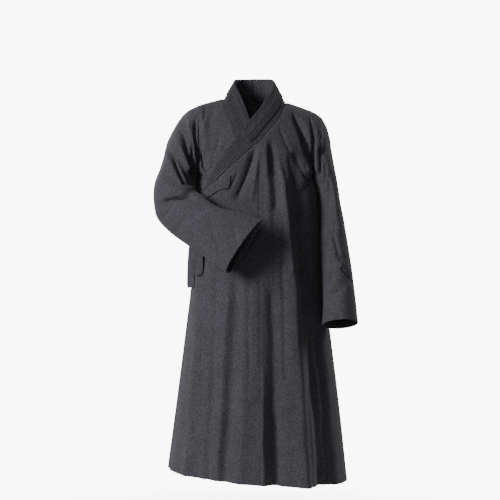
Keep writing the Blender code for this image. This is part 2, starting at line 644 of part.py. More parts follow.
def build_trunk():
    """The five panels of the trunk as grids, with the columns of each that meet the collar."""
    outer_line = lambda x: top_line(SEAM_OUTER, x)
    inner_line = lambda x: top_line(SEAM_INNER, x)
    back_line = lambda x: top_line(None, x, BACK)
    right, left = -NECK_X[-1], NECK_X[1]

    tops = np.concatenate([
        spread(CENTRE_TOP, left, outer_line, FRONT, LEFT_NECK_QUADS),
        np.linspace(left, ARMHOLE_X, SHOULDER_QUADS + 1)[1:],
    ])
    shares = sines(CENTRE_SHARE, 1, LEFT_NECK_QUADS + SHOULDER_QUADS)
    left_front = panel(tops, outer_line, shares, FRONT, LOW_QUADS, HIGH_QUADS)
    square_edge(left_front, 0, 0, 1)
    side_edge(left_front, -1, FRONT)
    shoulder_edge(left_front, FRONT)

    tops = np.concatenate([
        np.linspace(OVERLAP_SHARE * ARMHOLE_X, BAND_END_X, FREE_QUADS + 1)[:-1],
        np.linspace(BAND_END_X, CENTRE_TOP, OVERLAP_QUADS + 1),
    ])
    shares = sines(OVERLAP_SHARE, CENTRE_SHARE, FREE_QUADS + OVERLAP_QUADS)
    overlap = panel(tops, outer_line, shares, FRONT, OVERLAP_ROWS, 0)
    square_edge(overlap, -1, 0, -1)

    tops = np.concatenate([
        np.linspace(-ARMHOLE_X, right, INNER_SHOULDER_QUADS + 1)[:-1],
        spread(right, INNER_END_X, inner_line, FRONT, INNER_NECK_QUADS),
    ])
    shares = sines(-1, INNER_SHARE, INNER_SHOULDER_QUADS + INNER_NECK_QUADS)
    right_front = panel(tops, inner_line, shares, FRONT, LOW_QUADS, HIGH_QUADS, inner_level)
    side_edge(right_front, 0, FRONT)
    shoulder_edge(right_front, FRONT)

    backs = {}
    for side in SIDES:
        tops = np.concatenate([
            spread(0, side * NECK_X[side], back_line, BACK, BACK_NECK_QUADS),
            np.linspace(side * NECK_X[side], side * ARMHOLE_X, SHOULDER_QUADS + 1)[1:],
        ])
        shares = side * sines(0, 1, BACK_NECK_QUADS + SHOULDER_QUADS)
        grid = panel(tops, back_line, shares, BACK, LOW_QUADS, HIGH_QUADS)
        square_edge(grid, 0, 0, side)
        side_edge(grid, -1, BACK)
        shoulder_edge(grid, BACK)
        if side > 0:
            grid = (grid[0][:, ::-1].copy(), grid[1][:, ::-1].copy())
        backs[side] = grid
    return left_front, overlap, right_front, backs[-1], backs[1]


def seam_of(parts):
    """One line of points along the top edges of neighbouring panels, with the owners of each."""
    points, owners = [], []
    for grid, columns in parts:
        for c in columns:
            p = grid[0][-1, c]
            if points and np.linalg.norm(points[-1] - p) < 0.002:
                points[-1] = (points[-1] + p) / 2
                owners[-1].append((grid, c))
            else:
                points.append(p.copy())
                owners.append([(grid, c)])
    return np.array(points), owners


def sew_band(parts, chart, level, order):
    """A half of the collar band, sewn to the panels' top edges and squared at the back."""
    points, owners = seam_of(parts)
    neck_row = max(r for r, row in enumerate(owners) if len(row) == 2)
    points[-1, 0] = 0
    band = band_grid(points, neck_row, chart, level, BAND_QUADS, order)
    join_band(band, 0 if order > 0 else -1, owners, neck_row)
    back_line = np.linspace(0, chart["fx"][0], BAND_QUADS + 1)
    band[0][-1, :, 0] = (back_line if order > 0 else back_line[::-1]) - order * SEAM / 2
    band[1][-1] = unit(band[1][-1] * (0, 1, 1))
    return band


def guard_grid(outer, inner):
    """The guard lies on the upper part of the band, from the left chest round to the right one."""
    start = np.argmax(outer[0][:, -1, 0] > GUARD_END_X)
    stop = np.argmax(inner[0][:, 0, 2] > GUARD_STOP_Z)
    shares = np.linspace(GUARD_START, GUARD_TOP, BAND_QUADS) * BAND_QUADS
    low = shares.astype(int)
    part = (shares - low)[None, :, None]
    strips = []
    for grid in ((outer[0][start:, ::-1], outer[1][start:, ::-1]), (inner[0][stop:], inner[1][stop:])):
        strips.append([values[:, low] * (1 - part) + values[:, low + 1] * part for values in grid])
    (first, first_normals), (second, second_normals) = strips
    middle = (first[-1:] + second[-1:]) / 2
    points = np.concatenate([first[:-1], middle, second[-2::-1]])
    normals = unit(np.concatenate([first_normals, second_normals[-2::-1]]))
    points = points + normals * (BAND / 2 + SEAM + CLOTH / 2)
    return points[:, ::-1], normals[:, ::-1]


def cuff_facing(sleeve):
    """The turned-in end of a sleeve, against its inside."""
    points, normals = sleeve
    return points[-2:] - normals[-2:] * (CLOTH + SEAM), normals[-2:]


def knot():
    """The knot at the right side, three soft turns of cloth in one lump."""
    around, rings = 16, 9
    points = [(0.0, 0.0, 1.0)]
    for r in range(1, rings):
        polar = math.pi * r / rings
        for c in range(around):
            angle = 2 * math.pi * c / around
            ridge = 1 + 0.07 * math.cos(KNOT_TURNS * (angle + 1.4 * math.cos(polar)))
            ring = math.sin(polar) * ridge
            points.append((ring * math.cos(angle), ring * math.sin(angle), math.cos(polar)))
    points.append((0.0, 0.0, -1.0))
    faces = [(0, 1 + c, 1 + (c + 1) % around) for c in range(around)]
    for r in range(rings - 2):
        for c in range(around):
            a, b = 1 + r * around + c, 1 + r * around + (c + 1) % around
            faces.append((a, a + around, b + around, b))
    last, tail = 1 + (rings - 2) * around, len(points) - 1
    faces += [(tail, last + (c + 1) % around, last + c) for c in range(around)]
    points = np.array(points) * KNOT_SIZE + KNOT
    return new_object("tie_knot", points, faces, CHARCOAL)


def between(chart, columns, count):
    """Even steps through the rows of a table."""
    chosen = [chart[name] for name in columns.split()]
    where = np.linspace(0, len(chosen[0]) - 1, count)
    return np.stack([np.interp(where, np.arange(len(values)), values) for values in chosen], -1)


def build_ties():
    """The tie base on the band's end, the tie from the side seam, and the two hanging ends."""
    on_band = BAND / 2 + SEAM + TIE / 2 + TIE_BASE_SLACK
    on_cloth = CLOTH / 2 + SEAM + TIE / 2 + TIE_BASE_SLACK
    line = between(TIE_BASE, "share z width", TIE_ROWS)
    z = line[:, 1:2] + np.linspace(-0.5, 0.5, 4) * line[:, 2:]
    x = line[:, :1] * half_width(line[:, :1] + 0 * z, z)
    points = trunk_point(x, z, FRONT, np.linspace(on_band, on_cloth, TIE_ROWS)[:, None] + 0 * z)
    points = points[::-1]
    normals = -grid_normals(points)
    wall("tie_base", (points[:, ::-1], normals[:, ::-1]), TIE)

    reach = half_width(np.array(-1.0), KNOT[2]) + CLOTH / 2 + SEAM + TIE / 2 + SIDE_TIE_SLACK
    seam_end = KNOT[1] + KNOT_SIZE[1] + 2 * SEAM
    path = [(-reach + 0.0050, 0.036, KNOT[2]), (-reach + 0.0016, 0.020, KNOT[2]), (-reach, 0.004, KNOT[2])]
    path.append((-reach, seam_end, KNOT[2]))
    ribbon("side_tie", resample(path, 6), [(-1.0, 0.0, 0.08)] * 6, TIE_WIDTH["side"])

    knot_end = KNOT - (0, 0, KNOT_SIZE[2] + 3 * SEAM)
    for name, chart, start in (("front", FRONT_END, (0.002, -0.010, 0)), ("back", BACK_END, (-0.003, 0.014, -0.002))):
        path = np.stack([chart["x"], chart["y"], chart["z"]], -1)
        path[0] = knot_end + start
        facing = between(chart, "facing_x facing_y facing_z", TIE_ROWS)
        narrow = between(TIE_TAPER, "share", TIE_ROWS)[:, 0]
        ribbon("tie_end_" + name, resample(path, TIE_ROWS), facing, TIE_WIDTH[name], narrow=narrow)


def main():
    for old in list(bpy.data.objects):
        bpy.data.objects.remove(old)

    left_front, overlap, right_front, right_back, left_back = build_trunk()
    outer_parts = [
        (overlap, range(FREE_QUADS, FREE_QUADS + OVERLAP_QUADS + 1)),
        (left_front, range(LEFT_NECK_QUADS + 1)),
        (left_back, range(SHOULDER_QUADS, SHOULDER_QUADS + BACK_NECK_QUADS + 1)),
    ]
    inner_parts = [
        (right_front, range(INNER_SHOULDER_QUADS + INNER_NECK_QUADS, INNER_SHOULDER_QUADS - 1, -1)),
        (right_back, range(BACK_NECK_QUADS, -1, -1)),
    ]
    outer_band = sew_band(outer_parts, BAND_OUTER, 0.0, -1)
    inner_band = sew_band(inner_parts, BAND_INNER, -LAYER, 1)

    wall("left_front", left_front, CLOTH)
    wall("overlap", overlap, CLOTH)
    wall("right_front", right_front, CLOTH)
    wall("right_back", right_back, CLOTH)
    wall("left_back", left_back, CLOTH)
    wall("collar_outer", outer_band, BAND, CHARCOAL_DARK)
    wall("collar_inner", inner_band, BAND, CHARCOAL_DARK)
    wall("collar_guard", guard_grid(outer_band, inner_band), CLOTH, CHARCOAL_DARK)

    right = ring_grid(RIGHT_SLEEVE, -1, {FRONT: RIGHT_SLEEVE_FOLDS, BACK: RIGHT_ELBOW_FOLDS})
    left = ring_grid(LEFT_SLEEVE, 1, {FRONT: LEFT_SLEEVE_FOLDS, BACK: LEFT_ELBOW_FOLDS})
    for name, grid in (("right", right), ("left", left)):
        wall(name + "_sleeve", grid, CLOTH, closed=True)
        wall(name + "_cuff_facing", cuff_facing(grid), CLOTH, closed=True)
    knot()
    build_ties()


main()
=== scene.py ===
import math

import bmesh
import bpy
import numpy as np
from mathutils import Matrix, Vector


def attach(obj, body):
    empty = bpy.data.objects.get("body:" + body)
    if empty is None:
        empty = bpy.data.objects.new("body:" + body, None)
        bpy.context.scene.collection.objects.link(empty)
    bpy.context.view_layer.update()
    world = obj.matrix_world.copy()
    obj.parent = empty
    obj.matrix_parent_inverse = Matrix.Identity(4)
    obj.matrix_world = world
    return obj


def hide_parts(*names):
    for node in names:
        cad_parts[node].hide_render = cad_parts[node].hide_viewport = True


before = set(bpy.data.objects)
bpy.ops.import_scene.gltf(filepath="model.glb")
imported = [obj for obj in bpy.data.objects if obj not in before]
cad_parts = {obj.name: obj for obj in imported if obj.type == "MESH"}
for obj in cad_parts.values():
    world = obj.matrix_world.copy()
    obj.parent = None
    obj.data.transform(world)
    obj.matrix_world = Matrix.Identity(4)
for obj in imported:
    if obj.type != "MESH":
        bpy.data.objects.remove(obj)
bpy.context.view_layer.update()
print("frame loaded:", len(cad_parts), "solids")

# Camera, light and floor. +X is the wearer's left, -Y the front, +Z up, all in metres.
cameraSet = {
    "place": (-0.020, -4.0, -0.495),
    "lens": 87.3,  # with a 36 mm sensor this frames 1.65 m at the robe
}
lightSet = {
    # name: place, aim, size, power in watts
    "key": ((-3.3, -2.7, 1.0), (0.0, 0.0, -0.55), (1.1, 2.0), 205),
    "front": ((-0.5, -4.6, 0.5), (0.0, 0.0, -0.8), (1.2, 1.2), 16),
    "rim": ((3.2, 1.7, 1.0), (0.0, 0.0, -0.5), (1.0, 1.8), 75),
    "backKey": ((-2.2, 3.0, 1.0), (0.0, 0.0, -0.5), (1.2, 1.8), 90),
}
stageSet = {"floor": -1.56, "radius": 9.0, "pool": 0.5, "fade": 1.6, "world": 0.10, "white": 9.0}


def setCamera():
    data = bpy.data.cameras.new("camera")
    data.lens, data.sensor_width = cameraSet["lens"], 36
    camera = bpy.data.objects.new("camera", data)
    camera.location = cameraSet["place"]
    camera.rotation_euler = (math.radians(90), 0, 0)
    bpy.context.scene.collection.objects.link(camera)
    bpy.context.scene.camera = camera


def setLights():
    for name, (place, aim, size, power) in lightSet.items():
        data = bpy.data.lights.new(name, "AREA")
        data.shape, data.size, data.size_y = "RECTANGLE", size[0], size[1]
        data.energy = power
        lamp = bpy.data.objects.new(name, data)
        lamp.location = place
        lamp.rotation_euler = (Vector(aim) - Vector(place)).to_track_quat("-Z", "Y").to_euler()
        lamp.visible_camera = False
        bpy.context.scene.collection.objects.link(lamp)


class Wire:
    # a socket of a node tree that can be used in sums
    def __init__(self, tree, socket=None):
        self.tree, self.socket = tree, socket

    def node(self, kind, settings=(), inputs=(), out=0):
        new = self.tree.nodes.new(kind)
        for key, value in dict(settings).items():
            if key == "stops":
                while len(new.color_ramp.elements) < len(value):
                    new.color_ramp.elements.new(0.5)
                for stop, (at, colour) in zip(new.color_ramp.elements, value):
                    stop.position, stop.color = at, (*colour, 1)
            else:
                setattr(new, key, value)
        for key, value in dict(inputs).items():
            if isinstance(value, Wire):
                self.tree.links.new(value.socket, new.inputs[key])
            else:
                new.inputs[key].default_value = value
        return Wire(self.tree, new.outputs[out] if new.outputs else None)

    def sum(self, kind, other):
        return self.node("ShaderNodeMath", {"operation": kind}, {0: self, 1: other})

    def __add__(self, other):
        return self.sum("ADD", other)

    def __mul__(self, other):
        return self.sum("MULTIPLY", other)

    __radd__, __rmul__ = __add__, __mul__

    def span(self, low, high):
        # 0 below low, 1 above high
        return self.node("ShaderNodeMapRange", {"interpolation_type": "SMOOTHSTEP"}, {0: self, 1: low, 2: high})


def newTree(holder):
    holder.use_nodes = True
    holder.node_tree.nodes.clear()
    return Wire(holder.node_tree)


def setStage():
    world = bpy.data.worlds.new("studio")
    tree = newTree(world)
    seen = tree.node("ShaderNodeLightPath", out="Is Camera Ray")
    level = stageSet["world"] + seen * (stageSet["white"] - stageSet["world"])
    light = tree.node("ShaderNodeBackground", {}, {"Color": (1, 1, 1, 1), "Strength": level})
    tree.node("ShaderNodeOutputWorld", {}, {"Surface": light})
    bpy.context.scene.world = world

    bm = bmesh.new()
    bmesh.ops.create_circle(bm, cap_ends=True, segments=96, radius=stageSet["radius"])
    bmesh.ops.translate(bm, verts=bm.verts, vec=(0, 0, stageSet["floor"]))
    mesh = bpy.data.meshes.new("floor")
    bm.to_mesh(mesh)
    bm.free()
    floor = bpy.data.objects.new("floor", mesh)
    bpy.context.scene.collection.objects.link(floor)

    material = bpy.data.materials.new("pale_floor")
    tree = newTree(material)
    place = tree.node("ShaderNodeTexCoord", out="Object")
    level = tree.node("ShaderNodeVectorMath", {"operation": "MULTIPLY"}, {0: place, 1: (1, 1, 0)})
    away = tree.node("ShaderNodeVectorMath", {"operation": "LENGTH"}, {0: level}, out="Value")
    paint = tree.node("ShaderNodeBsdfDiffuse", {}, {"Color": (0.86, 0.86, 0.87, 1)})
    clear = tree.node("ShaderNodeBsdfTransparent")
    faded = away.span(stageSet["pool"], stageSet["fade"])
    mix = tree.node("ShaderNodeMixShader", {}, {0: faded, 1: paint, 2: clear})
    tree.node("ShaderNodeOutputMaterial", {}, {"Surface": mix})
    mesh.materials.append(material)


setCamera()
setLights()
setStage()
print("camera, lights and floor set")

# The form of the robe, the same as that of its solids.
clothThick, bandThick, tieThick = 0.002, 0.003, 0.0025
sewnGap = 0.00002  # between panels sewn edge to edge
seamGap, collarGap = 0.0003, 0.0005
layerGap = 0.009  # between the crossing fronts, middle to middle
armholeX, armpitZ, armholeDepth = 0.185, -0.245, 0.088
innerCalm = 0.12  # folds of a sleeve die out toward the edge beside the trunk
mainSoft, fineSoft = 0.30, 0.14  # how round the bottom of a fold or a crease is, as a share of its reach
edgeDrop, edgeSoft = 0.26, 1.3  # the armhole's fullness starts lower on the chest than at the armpit
hemLevel, hemTilt = -1.227, -0.068  # the raised right shoulder lifts that side of the hem
neckX = {-1: 0.106, 1: 0.0965}
neckZ = {-1: 0.002, 1: -0.010}
tipZ = {-1: -0.018, 1: -0.040}
backNeckRise, backNeckDip, backNeckBlend = 0.040, 0.030, 0.075
centreShare, centreTop = 0.045, 0.0083
overlapShare, bandEndX = -0.965, -0.0935
tieSlack = 0.0008
trunkRound = 2.1  # the power of the trunk's level section, 2 being an ellipse
sides = (-1, 1)  # the wearer's right, the wearer's left
fore, rear = -1, 1
neckRowOfTable = 3  # the row of the band tables at the shoulder seam
density = 1.0  # how fine the cloth is laid


def table(columns, *rows):
    # rows of millimetres, but pull and ends are plain numbers
    names = columns.split()
    unitOf = {"pull": 1, "ends": 1}
    return {name: np.array([row[i] for row in rows]) / unitOf.get(name, 1000) for i, name in enumerate(names)}


def folds(*rows):
    # Each is a line seen from the front or the back, from x0, z0 to x1, z1, bowed to one side. A depth
    # is inwards, so a ridge is negative, and low and high are its reach toward smaller and larger x.
    return table("x0 z0 x1 z1 bow depth0 depth1 low high", *rows)


# The trunk in level sections, from the hem to the shoulders.
trunkSections = table(
    "z right left front back",
    (-1260, 297, 300, -236, 226),
    (-1000, 262, 272, -212, 194),
    (-750, 230, 241, -187, 160),
    (-600, 212, 219.5, -171, 140),
    (-400, 198, 206.5, -152, 116),
    (-300, 194.5, 197.5, -143, 108),
    (-245, 185, 185, -136, 106),
    (-170, 185, 185, -127, 106),
    (-100, 185, 185, -114, 102),
    (-30, 185, 185, -96, 96),
    (50, 185, 185, -80, 90),
)

# The seam of the collar on each front, as seen from the front, from the neck to the lower end.
outerSeam = table(
    "x z",
    (-200, -324),
    (-172, -306.5),
    (-104, -301),
    (-93.5, -296.5),
    (-82.5, -273),
    (-54, -232),
    (-32, -203),
    (-7, -168),
    (20, -137),
    (44, -107),
    (64, -83),
    (82, -54),
    (96.5, -10),
)
innerSeam = table(
    "x z",
    (-106, 2),
    (-103, -30),
    (-85, -80),
    (-70, -121),
    (-55, -158),
    (-28, -215),
    (30, -326),
)

frontFolds = folds(
    # the fan below the collar
    (-2, -172, -60, -330, 4, 10, 6, 24, 22),
    (43, -150, 62, -360, 4, 10, 7, 20, 26),
    (22, -150, 45, -420, 0, -6, -5, 22, 20),
    # the ridge down the left front, its groove toward the seam and the deep one behind it
    (88, -250, 158, -1300, 4, -8, -24, 60, 30),
    (124, -170, 216, -1300, -6, 12, 24, 30, 56),
    (52, -620, 60, -1300, 4, 4, 20, 44, 40),
    (10, -800, 16, -1300, 0, -2, -7, 50, 28),
    # the broad soft folds of the overlap
    (-60, -560, -112, -1300, 6, 5, 13, 46, 52),
    (-150, -640, -190, -1300, 0, 3, 8, 40, 40),
    (-30, -620, -52, -1300, 0, -2, -8, 50, 48),
    # the drag lines round the left armhole
    (116, -50, 176, -210, 6, 10, 12, 20, 24),
    (190, -70, 192, -200, 6, 4, 4, 26, 26),
    # the drag lines round the right armhole
    (-186, -52, -166, -235, -10, 10, 12, 20, 24),
    (-150, -30, -152, -100, 0, 6, 3, 20, 20),
)
backFolds = folds(
    (-150, -120, -110, -420, 10, 10, 6, 26, 26),
    (150, -120, 120, -420, -10, 10, 6, 26, 26),
    (-85, -380, -160, -1300, 10, 5, 24, 55, 50),
    (-30, -420, -45, -1300, 0, -4, -18, 50, 50),
    (50, -400, 70, -1300, 8, 5, 22, 50, 46),
    (110, -420, 150, -1300, 0, -4, -18, 50, 50),
    (165, -500, 225, -1300, 0, 4, 18, 45, 45),
    (-176, -120, -170, -225, 0, 6, 8, 24, 24),
    (176, -120, 170, -225, 0, 6, 8, 24, 24),
)
rightSleeveFolds = folds(
    (-240, -95, -184, -270, 8, 10, 16, 24, 24),
    (-284, -160, -190, -298, 4, 10, 16, 24, 24),
    (-176, -312, -286, -345, 6, 14, 10, 24, 24),
    (-128, -352, -200, -385, 0, 8, 4, 20, 20),
)
leftSleeveFolds = folds(
    (222, -200, 228, -420, 6, 10, 10, 24, 26),
    (222, -560, 272, -520, 4, 10, 6, 24, 24),
    (222, -660, 276, -600, 4, 8, 5, 24, 24),
)
rightElbowFolds = folds(
    (-236, -120, -206, -270, 4, 8, 10, 24, 24),
    (-270, -200, -220, -310, 4, 8, 10, 24, 24),
)
leftElbowFolds = folds(
    (226, -160, 212, -330, 4, 8, 10, 24, 24),
    (228, -360, 275, -470, 0, 8, 5, 24, 24),
)

# Sleeve sections from the armhole to the cuff: the outer and the inner edge of each, how far its
# walls stand off the line between them, and what shifts the fullness toward the inner edge.
sleeveColumns = "ox oy oz ix iy iz front back pull ends"
rightSleeveRings = table(
    sleeveColumns,
    (-185, 0, -18, -185, 0, -245, 88, 88, 1, 0.45),
    (-232, 2, -43, -189.2, -4, -262, 86, 84, 1, 0.52),
    (-272, 4, -98, -192.4, -22, -278, 82, 74, 1, 0.6),
    (-297, 4, -155, -193.8, -44, -292, 78, 62, 1, 0.64),
    (-309, 2, -230, -191.2, -80, -303, 74, 50, 1, 0.6),
    (-320, -4, -305, -189, -118, -311, 68, 42, 0.95, 0.5),
    (-311, -18, -385, -174, -150, -320, 62, 32, 0.9, 0.5),
    (-272, -56, -434, -150, -178, -342, 54, 26, 0.85, 0.52),
    (-207, -124, -482, -112, -202, -364, 48, 24, 0.8, 0.52),
    (-148, -178, -524, -50, -218, -379, 42, 26, 0.75, 0.54),
    (-89, -212, -566, 15, -240, -403, 38, 30, 0.7, 0.54),
)
leftSleeveRings = table(
    sleeveColumns,
    (185, 0, -40, 185, 0, -245, 88, 88, 1, 0.45),
    (214, 0, -60, 190.5, 0, -262, 88, 88, 1, 0.48),
    (234, 0, -96, 196.5, -6, -282, 87, 87, 1, 0.58),
    (247, -3, -160, 200.8, -19, -312, 86, 85, 1, 0.7),
    (259, -8, -240, 204.5, -30, -350, 85, 82, 1, 0.72),
    (270, -16, -330, 207.2, -40, -400, 83, 78, 1, 0.68),
    (285, -30, -415, 210, -50, -455, 80, 74, 1, 0.5),
    (297, -48, -490, 213, -66, -515, 78, 72, 1, 0.5),
    (308, -72, -570, 216, -88, -585, 76, 70, 1, 0.5),
    (316, -98, -655, 217, -114, -662, 75, 69, 1, 0.48),
    (322, -118, -733, 212, -136, -731, 75, 69, 1, 0.46),
)

# The collar band round the neck and down each front: its seam edge and its free edge. Where the
# band lies on the chest the depth comes from the front itself.
bandColumns = "sx sy sz fx fy fz"
outerBandRows = table(
    bandColumns,
    (0, 80, 4, -8, 66, 78),
    (52, 68, 1, 22, 59, 77),
    (86, 36, -5, 46, 34, 73),
    (96.5, 0, -10, 56, 3, 61),
    (93, -50, -26, 50, -30, 30),
    (82, -82, -54, 32, -57, 0),
    (64, -100, -83, 12, -82, -35),
    (44, -110, -107, -10, -102, -63),
    (10.5, -122, -147, -42, -118, -110),
    (-18, -130, -182, -72, -124, -147),
    (-54, -134, -232, -108, -124, -195),
    (-93.5, -136, -296.5, -172, -92, -302),
)
innerBandRows = table(
    bandColumns,
    (0, 80, 4, -8, 66, 78),
    (-54, 70, 4, -40, 59, 76),
    (-92, 38, 3, -63, 34, 72),
    (-106, 0, 2, -69, 0, 60),
    (-103, -50, -30, -55, -34, 22),
    (-85, -88, -80, -38, -66, -22),
    (-70, -104, -121, -20, -88, -73),
    (-55, -115, -158, -2, -104, -120),
    (-28, -123, -215, 24, -116, -176),
    (30, -130, -326, 80, -120, -286),
)

# Finer creases that only the cloth of this scene has, given in the same way.
frontCreases = folds(
    (-58, -244, -81, -291, 1, 6, 4, 7, 10),
    (-137, -200, -146, -236, 2, 6, 5, 9, 12),
    # dents below the right shoulder and the drag lines round its armhole
    (-163, -20, -168, -74, 0, 6, 4, 12, 9),
    (-134, -10, -138, -62, 0, 5, 3, 12, 9),
    (-180, -165, -168, -272, 1, 12, 14, 8, 8),
    (-118, -105, -128, -170, 3, 4, 3, 14, 10),
    # the fan below the collar: a strong valley, a smaller one beside it, and ridges between
    (-4, -176, -58, -318, 4, 4, 4, 9, 14),
    (12, -160, -16, -330, 3, -6, -3, 14, 14),
    (50, -142, 68, -276, -3, 3, 2, 10, 14),
    (34, -140, 34, -250, 0, -5, -3, 13, 13),
    (72, -90, 106, -176, -3, 4, 3, 11, 11),
    # drag lines from the left shoulder into the armhole
    (116, -44, 170, -160, -8, 9, 8, 10, 14),
    (136, -94, 184, -236, -6, 8, 9, 9, 14),
    (120, -190, 165, -262, -3, 5, 4, 10, 12),
    (154, -150, 178, -290, 2, -5, -4, 10, 10),
    (174, -52, 182, -205, 4, 7, 9, 10, 8),
    # the long ridge of the left front and the valley that runs beside it
    (72, -210, 112, -560, 8, -7, -6, 20, 14),
    (122, -520, 168, -1300, 2, -6, -7, 28, 12),
    (102, -190, 146, -560, 6, 8, 6, 12, 22),
    # soft uprights of the skirt
    (46, -600, 52, -1300, 3, 4, 8, 22, 32),
    (-60, -560, -100, -1300, 6, 2, 4, 24, 36),
    (-127, -552, -160, -1300, 4, 5, 10, 22, 40),
    (-90, -620, -128, -1300, 0, -4, -6, 30, 24),
    (-24, -560, -28, -960, 2, 4, 2, 18, 24),
    (84, -420, 94, -900, -4, 4, 4, 14, 22),
    (150, -560, 190, -1300, -4, -3, -6, 16, 14),
    (168, -480, 240, -1300, 4, 5, 9, 14, 22),
    (-186, -700, -232, -1300, 2, -4, -6, 24, 20),
    (20, -860, 24, -1300, 0, -3, -6, 18, 12),
)
backCreases = folds(
    (-140, -90, -118, -300, 6, 7, 3, 10, 14),
    (138, -100, 120, -280, -6, 7, 3, 14, 10),
    (-172, -160, -126, -330, -4, 7, 4, 10, 14),
    (172, -170, 130, -350, 4, 7, 4, 14, 10),
    (-178, -200, -158, -380, -4, 6, 4, 10, 14),
    (180, -190, 160, -370, 4, 6, 4, 14, 10),
    (-74, -60, 60, -75, -10, 5, 4, 12, 14),
    (-60, -100, 70, -122, -8, 4, 4, 14, 12),
    (-30, -520, -60, -980, 4, 4, 6, 16, 26),
    (86, -560, 106, -1300, 4, 4, 9, 16, 30),
    (-120, -600, -206, -1300, 3, 4, 10, 16, 26),
    (10, -700, 16, -1300, 0, 4, 8, 18, 28),
    (190, -560, 262, -1300, 2, -4, -8, 20, 16),
    (-178, -460, -244, -1300, 2, -4, -8, 22, 16),
    (-66, -900, -80, -1300, 0, -4, -9, 20, 16),
)
rightSleeveCreases = folds(
    # from the shoulder down into the pocket at the armpit
    (-190, -48, -187, -180, -9, 15, 18, 10, 8),
    (-246, -94, -190, -275, -3, 17, 20, 11, 9),
    (-291, -158, -230, -280, 0, 18, 22, 11, 9),
    (-236, -272, -194, -290, -2, 16, 14, 10, 10),
    (-216, -60, -210, -180, -4, -5, -7, 12, 12),
    (-268, -120, -215, -232, 2, -6, -8, 14, 14),
    # across the bend of the elbow
    (-294, -272, -252, -276, 2, 14, 8, 10, 12),
    (-184, -302, -292, -336, 6, 18, 16, 10, 12),
    (-200, -300, -268, -302, 2, -8, -6, 12, 12),
    (-214, -345, -163, -337, 2, 6, 6, 14, 10),
    (-300, -300, -262, -330, 2, -5, -4, 12, 12),
    (-262, -350, -302, -392, 2, 6, 4, 14, 12),
    (-212, -370, -254, -436, 2, 5, 4, 16, 14),
    # at the upper edge of the forearm
    (-122, -356, -94, -372, 1, 14, 10, 8, 8),
    (-176, -338, -150, -352, 1, 10, 6, 9, 10),
    (-150, -395, -118, -488, 2, 5, 3, 18, 14),
    (-80, -400, -60, -480, 2, 4, 2, 16, 14),
)
leftSleeveCreases = folds(
    (206, -110, 204, -250, 2, 13, 12, 9, 12),
    (236, -190, 222, -300, 3, -5, -5, 12, 12),
    (222, -80, 216, -210, 0, 6, 5, 10, 14),
    (238, -300, 250, -440, 4, 6, 5, 12, 16),
    # the star of folds at the elbow
    (228, -420, 260, -510, 3, 13, 7, 10, 14),
    (240, -560, 216, -636, 2, 14, 10, 9, 13),
    (211, -642, 274, -622, 2, 14, 8, 9, 13),
    (262, -540, 304, -604, 2, 9, 5, 10, 14),
    (238, -650, 262, -720, 2, 4, 3, 14, 14),
    (224, -500, 270, -545, 3, -5, -4, 12, 12),
)
rightElbowCreases = folds(
    (-215, -80, -202, -190, 2, 6, 7, 10, 12),
    (-250, -150, -214, -250, 3, 6, 7, 11, 12),
    (-286, -250, -220, -300, 3, 7, 7, 11, 12),
    (-300, -320, -240, -345, 2, 7, 5, 12, 13),
    (-290, -400, -230, -370, 2, 6, 5, 12, 13),
)
leftElbowCreases = folds(
    (214, -90, 204, -210, 2, 6, 7, 10, 12),
    (240, -140, 214, -280, 3, 6, 7, 11, 12),
    (222, -480, 282, -520, 3, 7, 5, 12, 13),
    (226, -540, 290, -560, 2, 6, 5, 12, 13),
    (250, -600, 262, -700, 2, 5, 4, 12, 13),
)


# The folds and creases of each sheet of the trunk, and of each sleeve by its side.
trunkFolds = {fore: (frontFolds, frontCreases), rear: (backFolds, backCreases)}
sleeveFolds = {
    -1: {fore: (rightSleeveFolds, rightSleeveCreases), rear: (rightElbowFolds, rightElbowCreases)},
    1: {fore: (leftSleeveFolds, leftSleeveCreases), rear: (leftElbowFolds, leftElbowCreases)},
}


def smooth(x, xs, ys):
    # a curve through a few places that never overshoots them
    x = np.clip(np.asarray(x, float), xs[0], xs[-1])
    slopes = np.diff(ys) / np.diff(xs)
    tangents = np.zeros(len(xs))
    tangents[0], tangents[-1] = slopes[0], slopes[-1]
    sameWay = slopes[1:] * slopes[:-1] > 0
    both = slopes[1:] + slopes[:-1]
    tangents[1:-1] = np.where(sameWay, 2 * slopes[1:] * slopes[:-1] / np.where(both == 0, 1, both), 0)
    i = np.clip(np.searchsorted(xs, x, side="right") - 1, 0, len(xs) - 2)
    span = xs[i + 1] - xs[i]
    t = (x - xs[i]) / span
    fromStart = (1 + 2 * t) * (1 - t) ** 2 * ys[i] + t * (1 - t) ** 2 * span * tangents[i]
    fromEnd = t * t * (3 - 2 * t) * ys[i + 1] + t * t * (t - 1) * span * tangents[i + 1]
    return fromStart + fromEnd


def curveAt(where, at, path):
    # a path's points at other places, at being the places of its own
    return np.stack([smooth(where, at, path[:, k]) for k in range(path.shape[1])], -1)


def ease(t):
    # 0 to 1 with a soft start and end
    t = np.clip(t, 0, 1)
    return t * t * (3 - 2 * t)


def bell(t):
    return np.exp(-(t**2))


def lengths(vectors):
    return np.linalg.norm(vectors, axis=-1)


def unit(vectors):
    return vectors / np.maximum(lengths(vectors), 1e-12)[..., None]


# How far a fold wanders from its line, how much its depth varies, and how sharp its bottom is.
foldLook = {"wander": 0.0018, "uneven": 0.16, "sharp": 1.7}


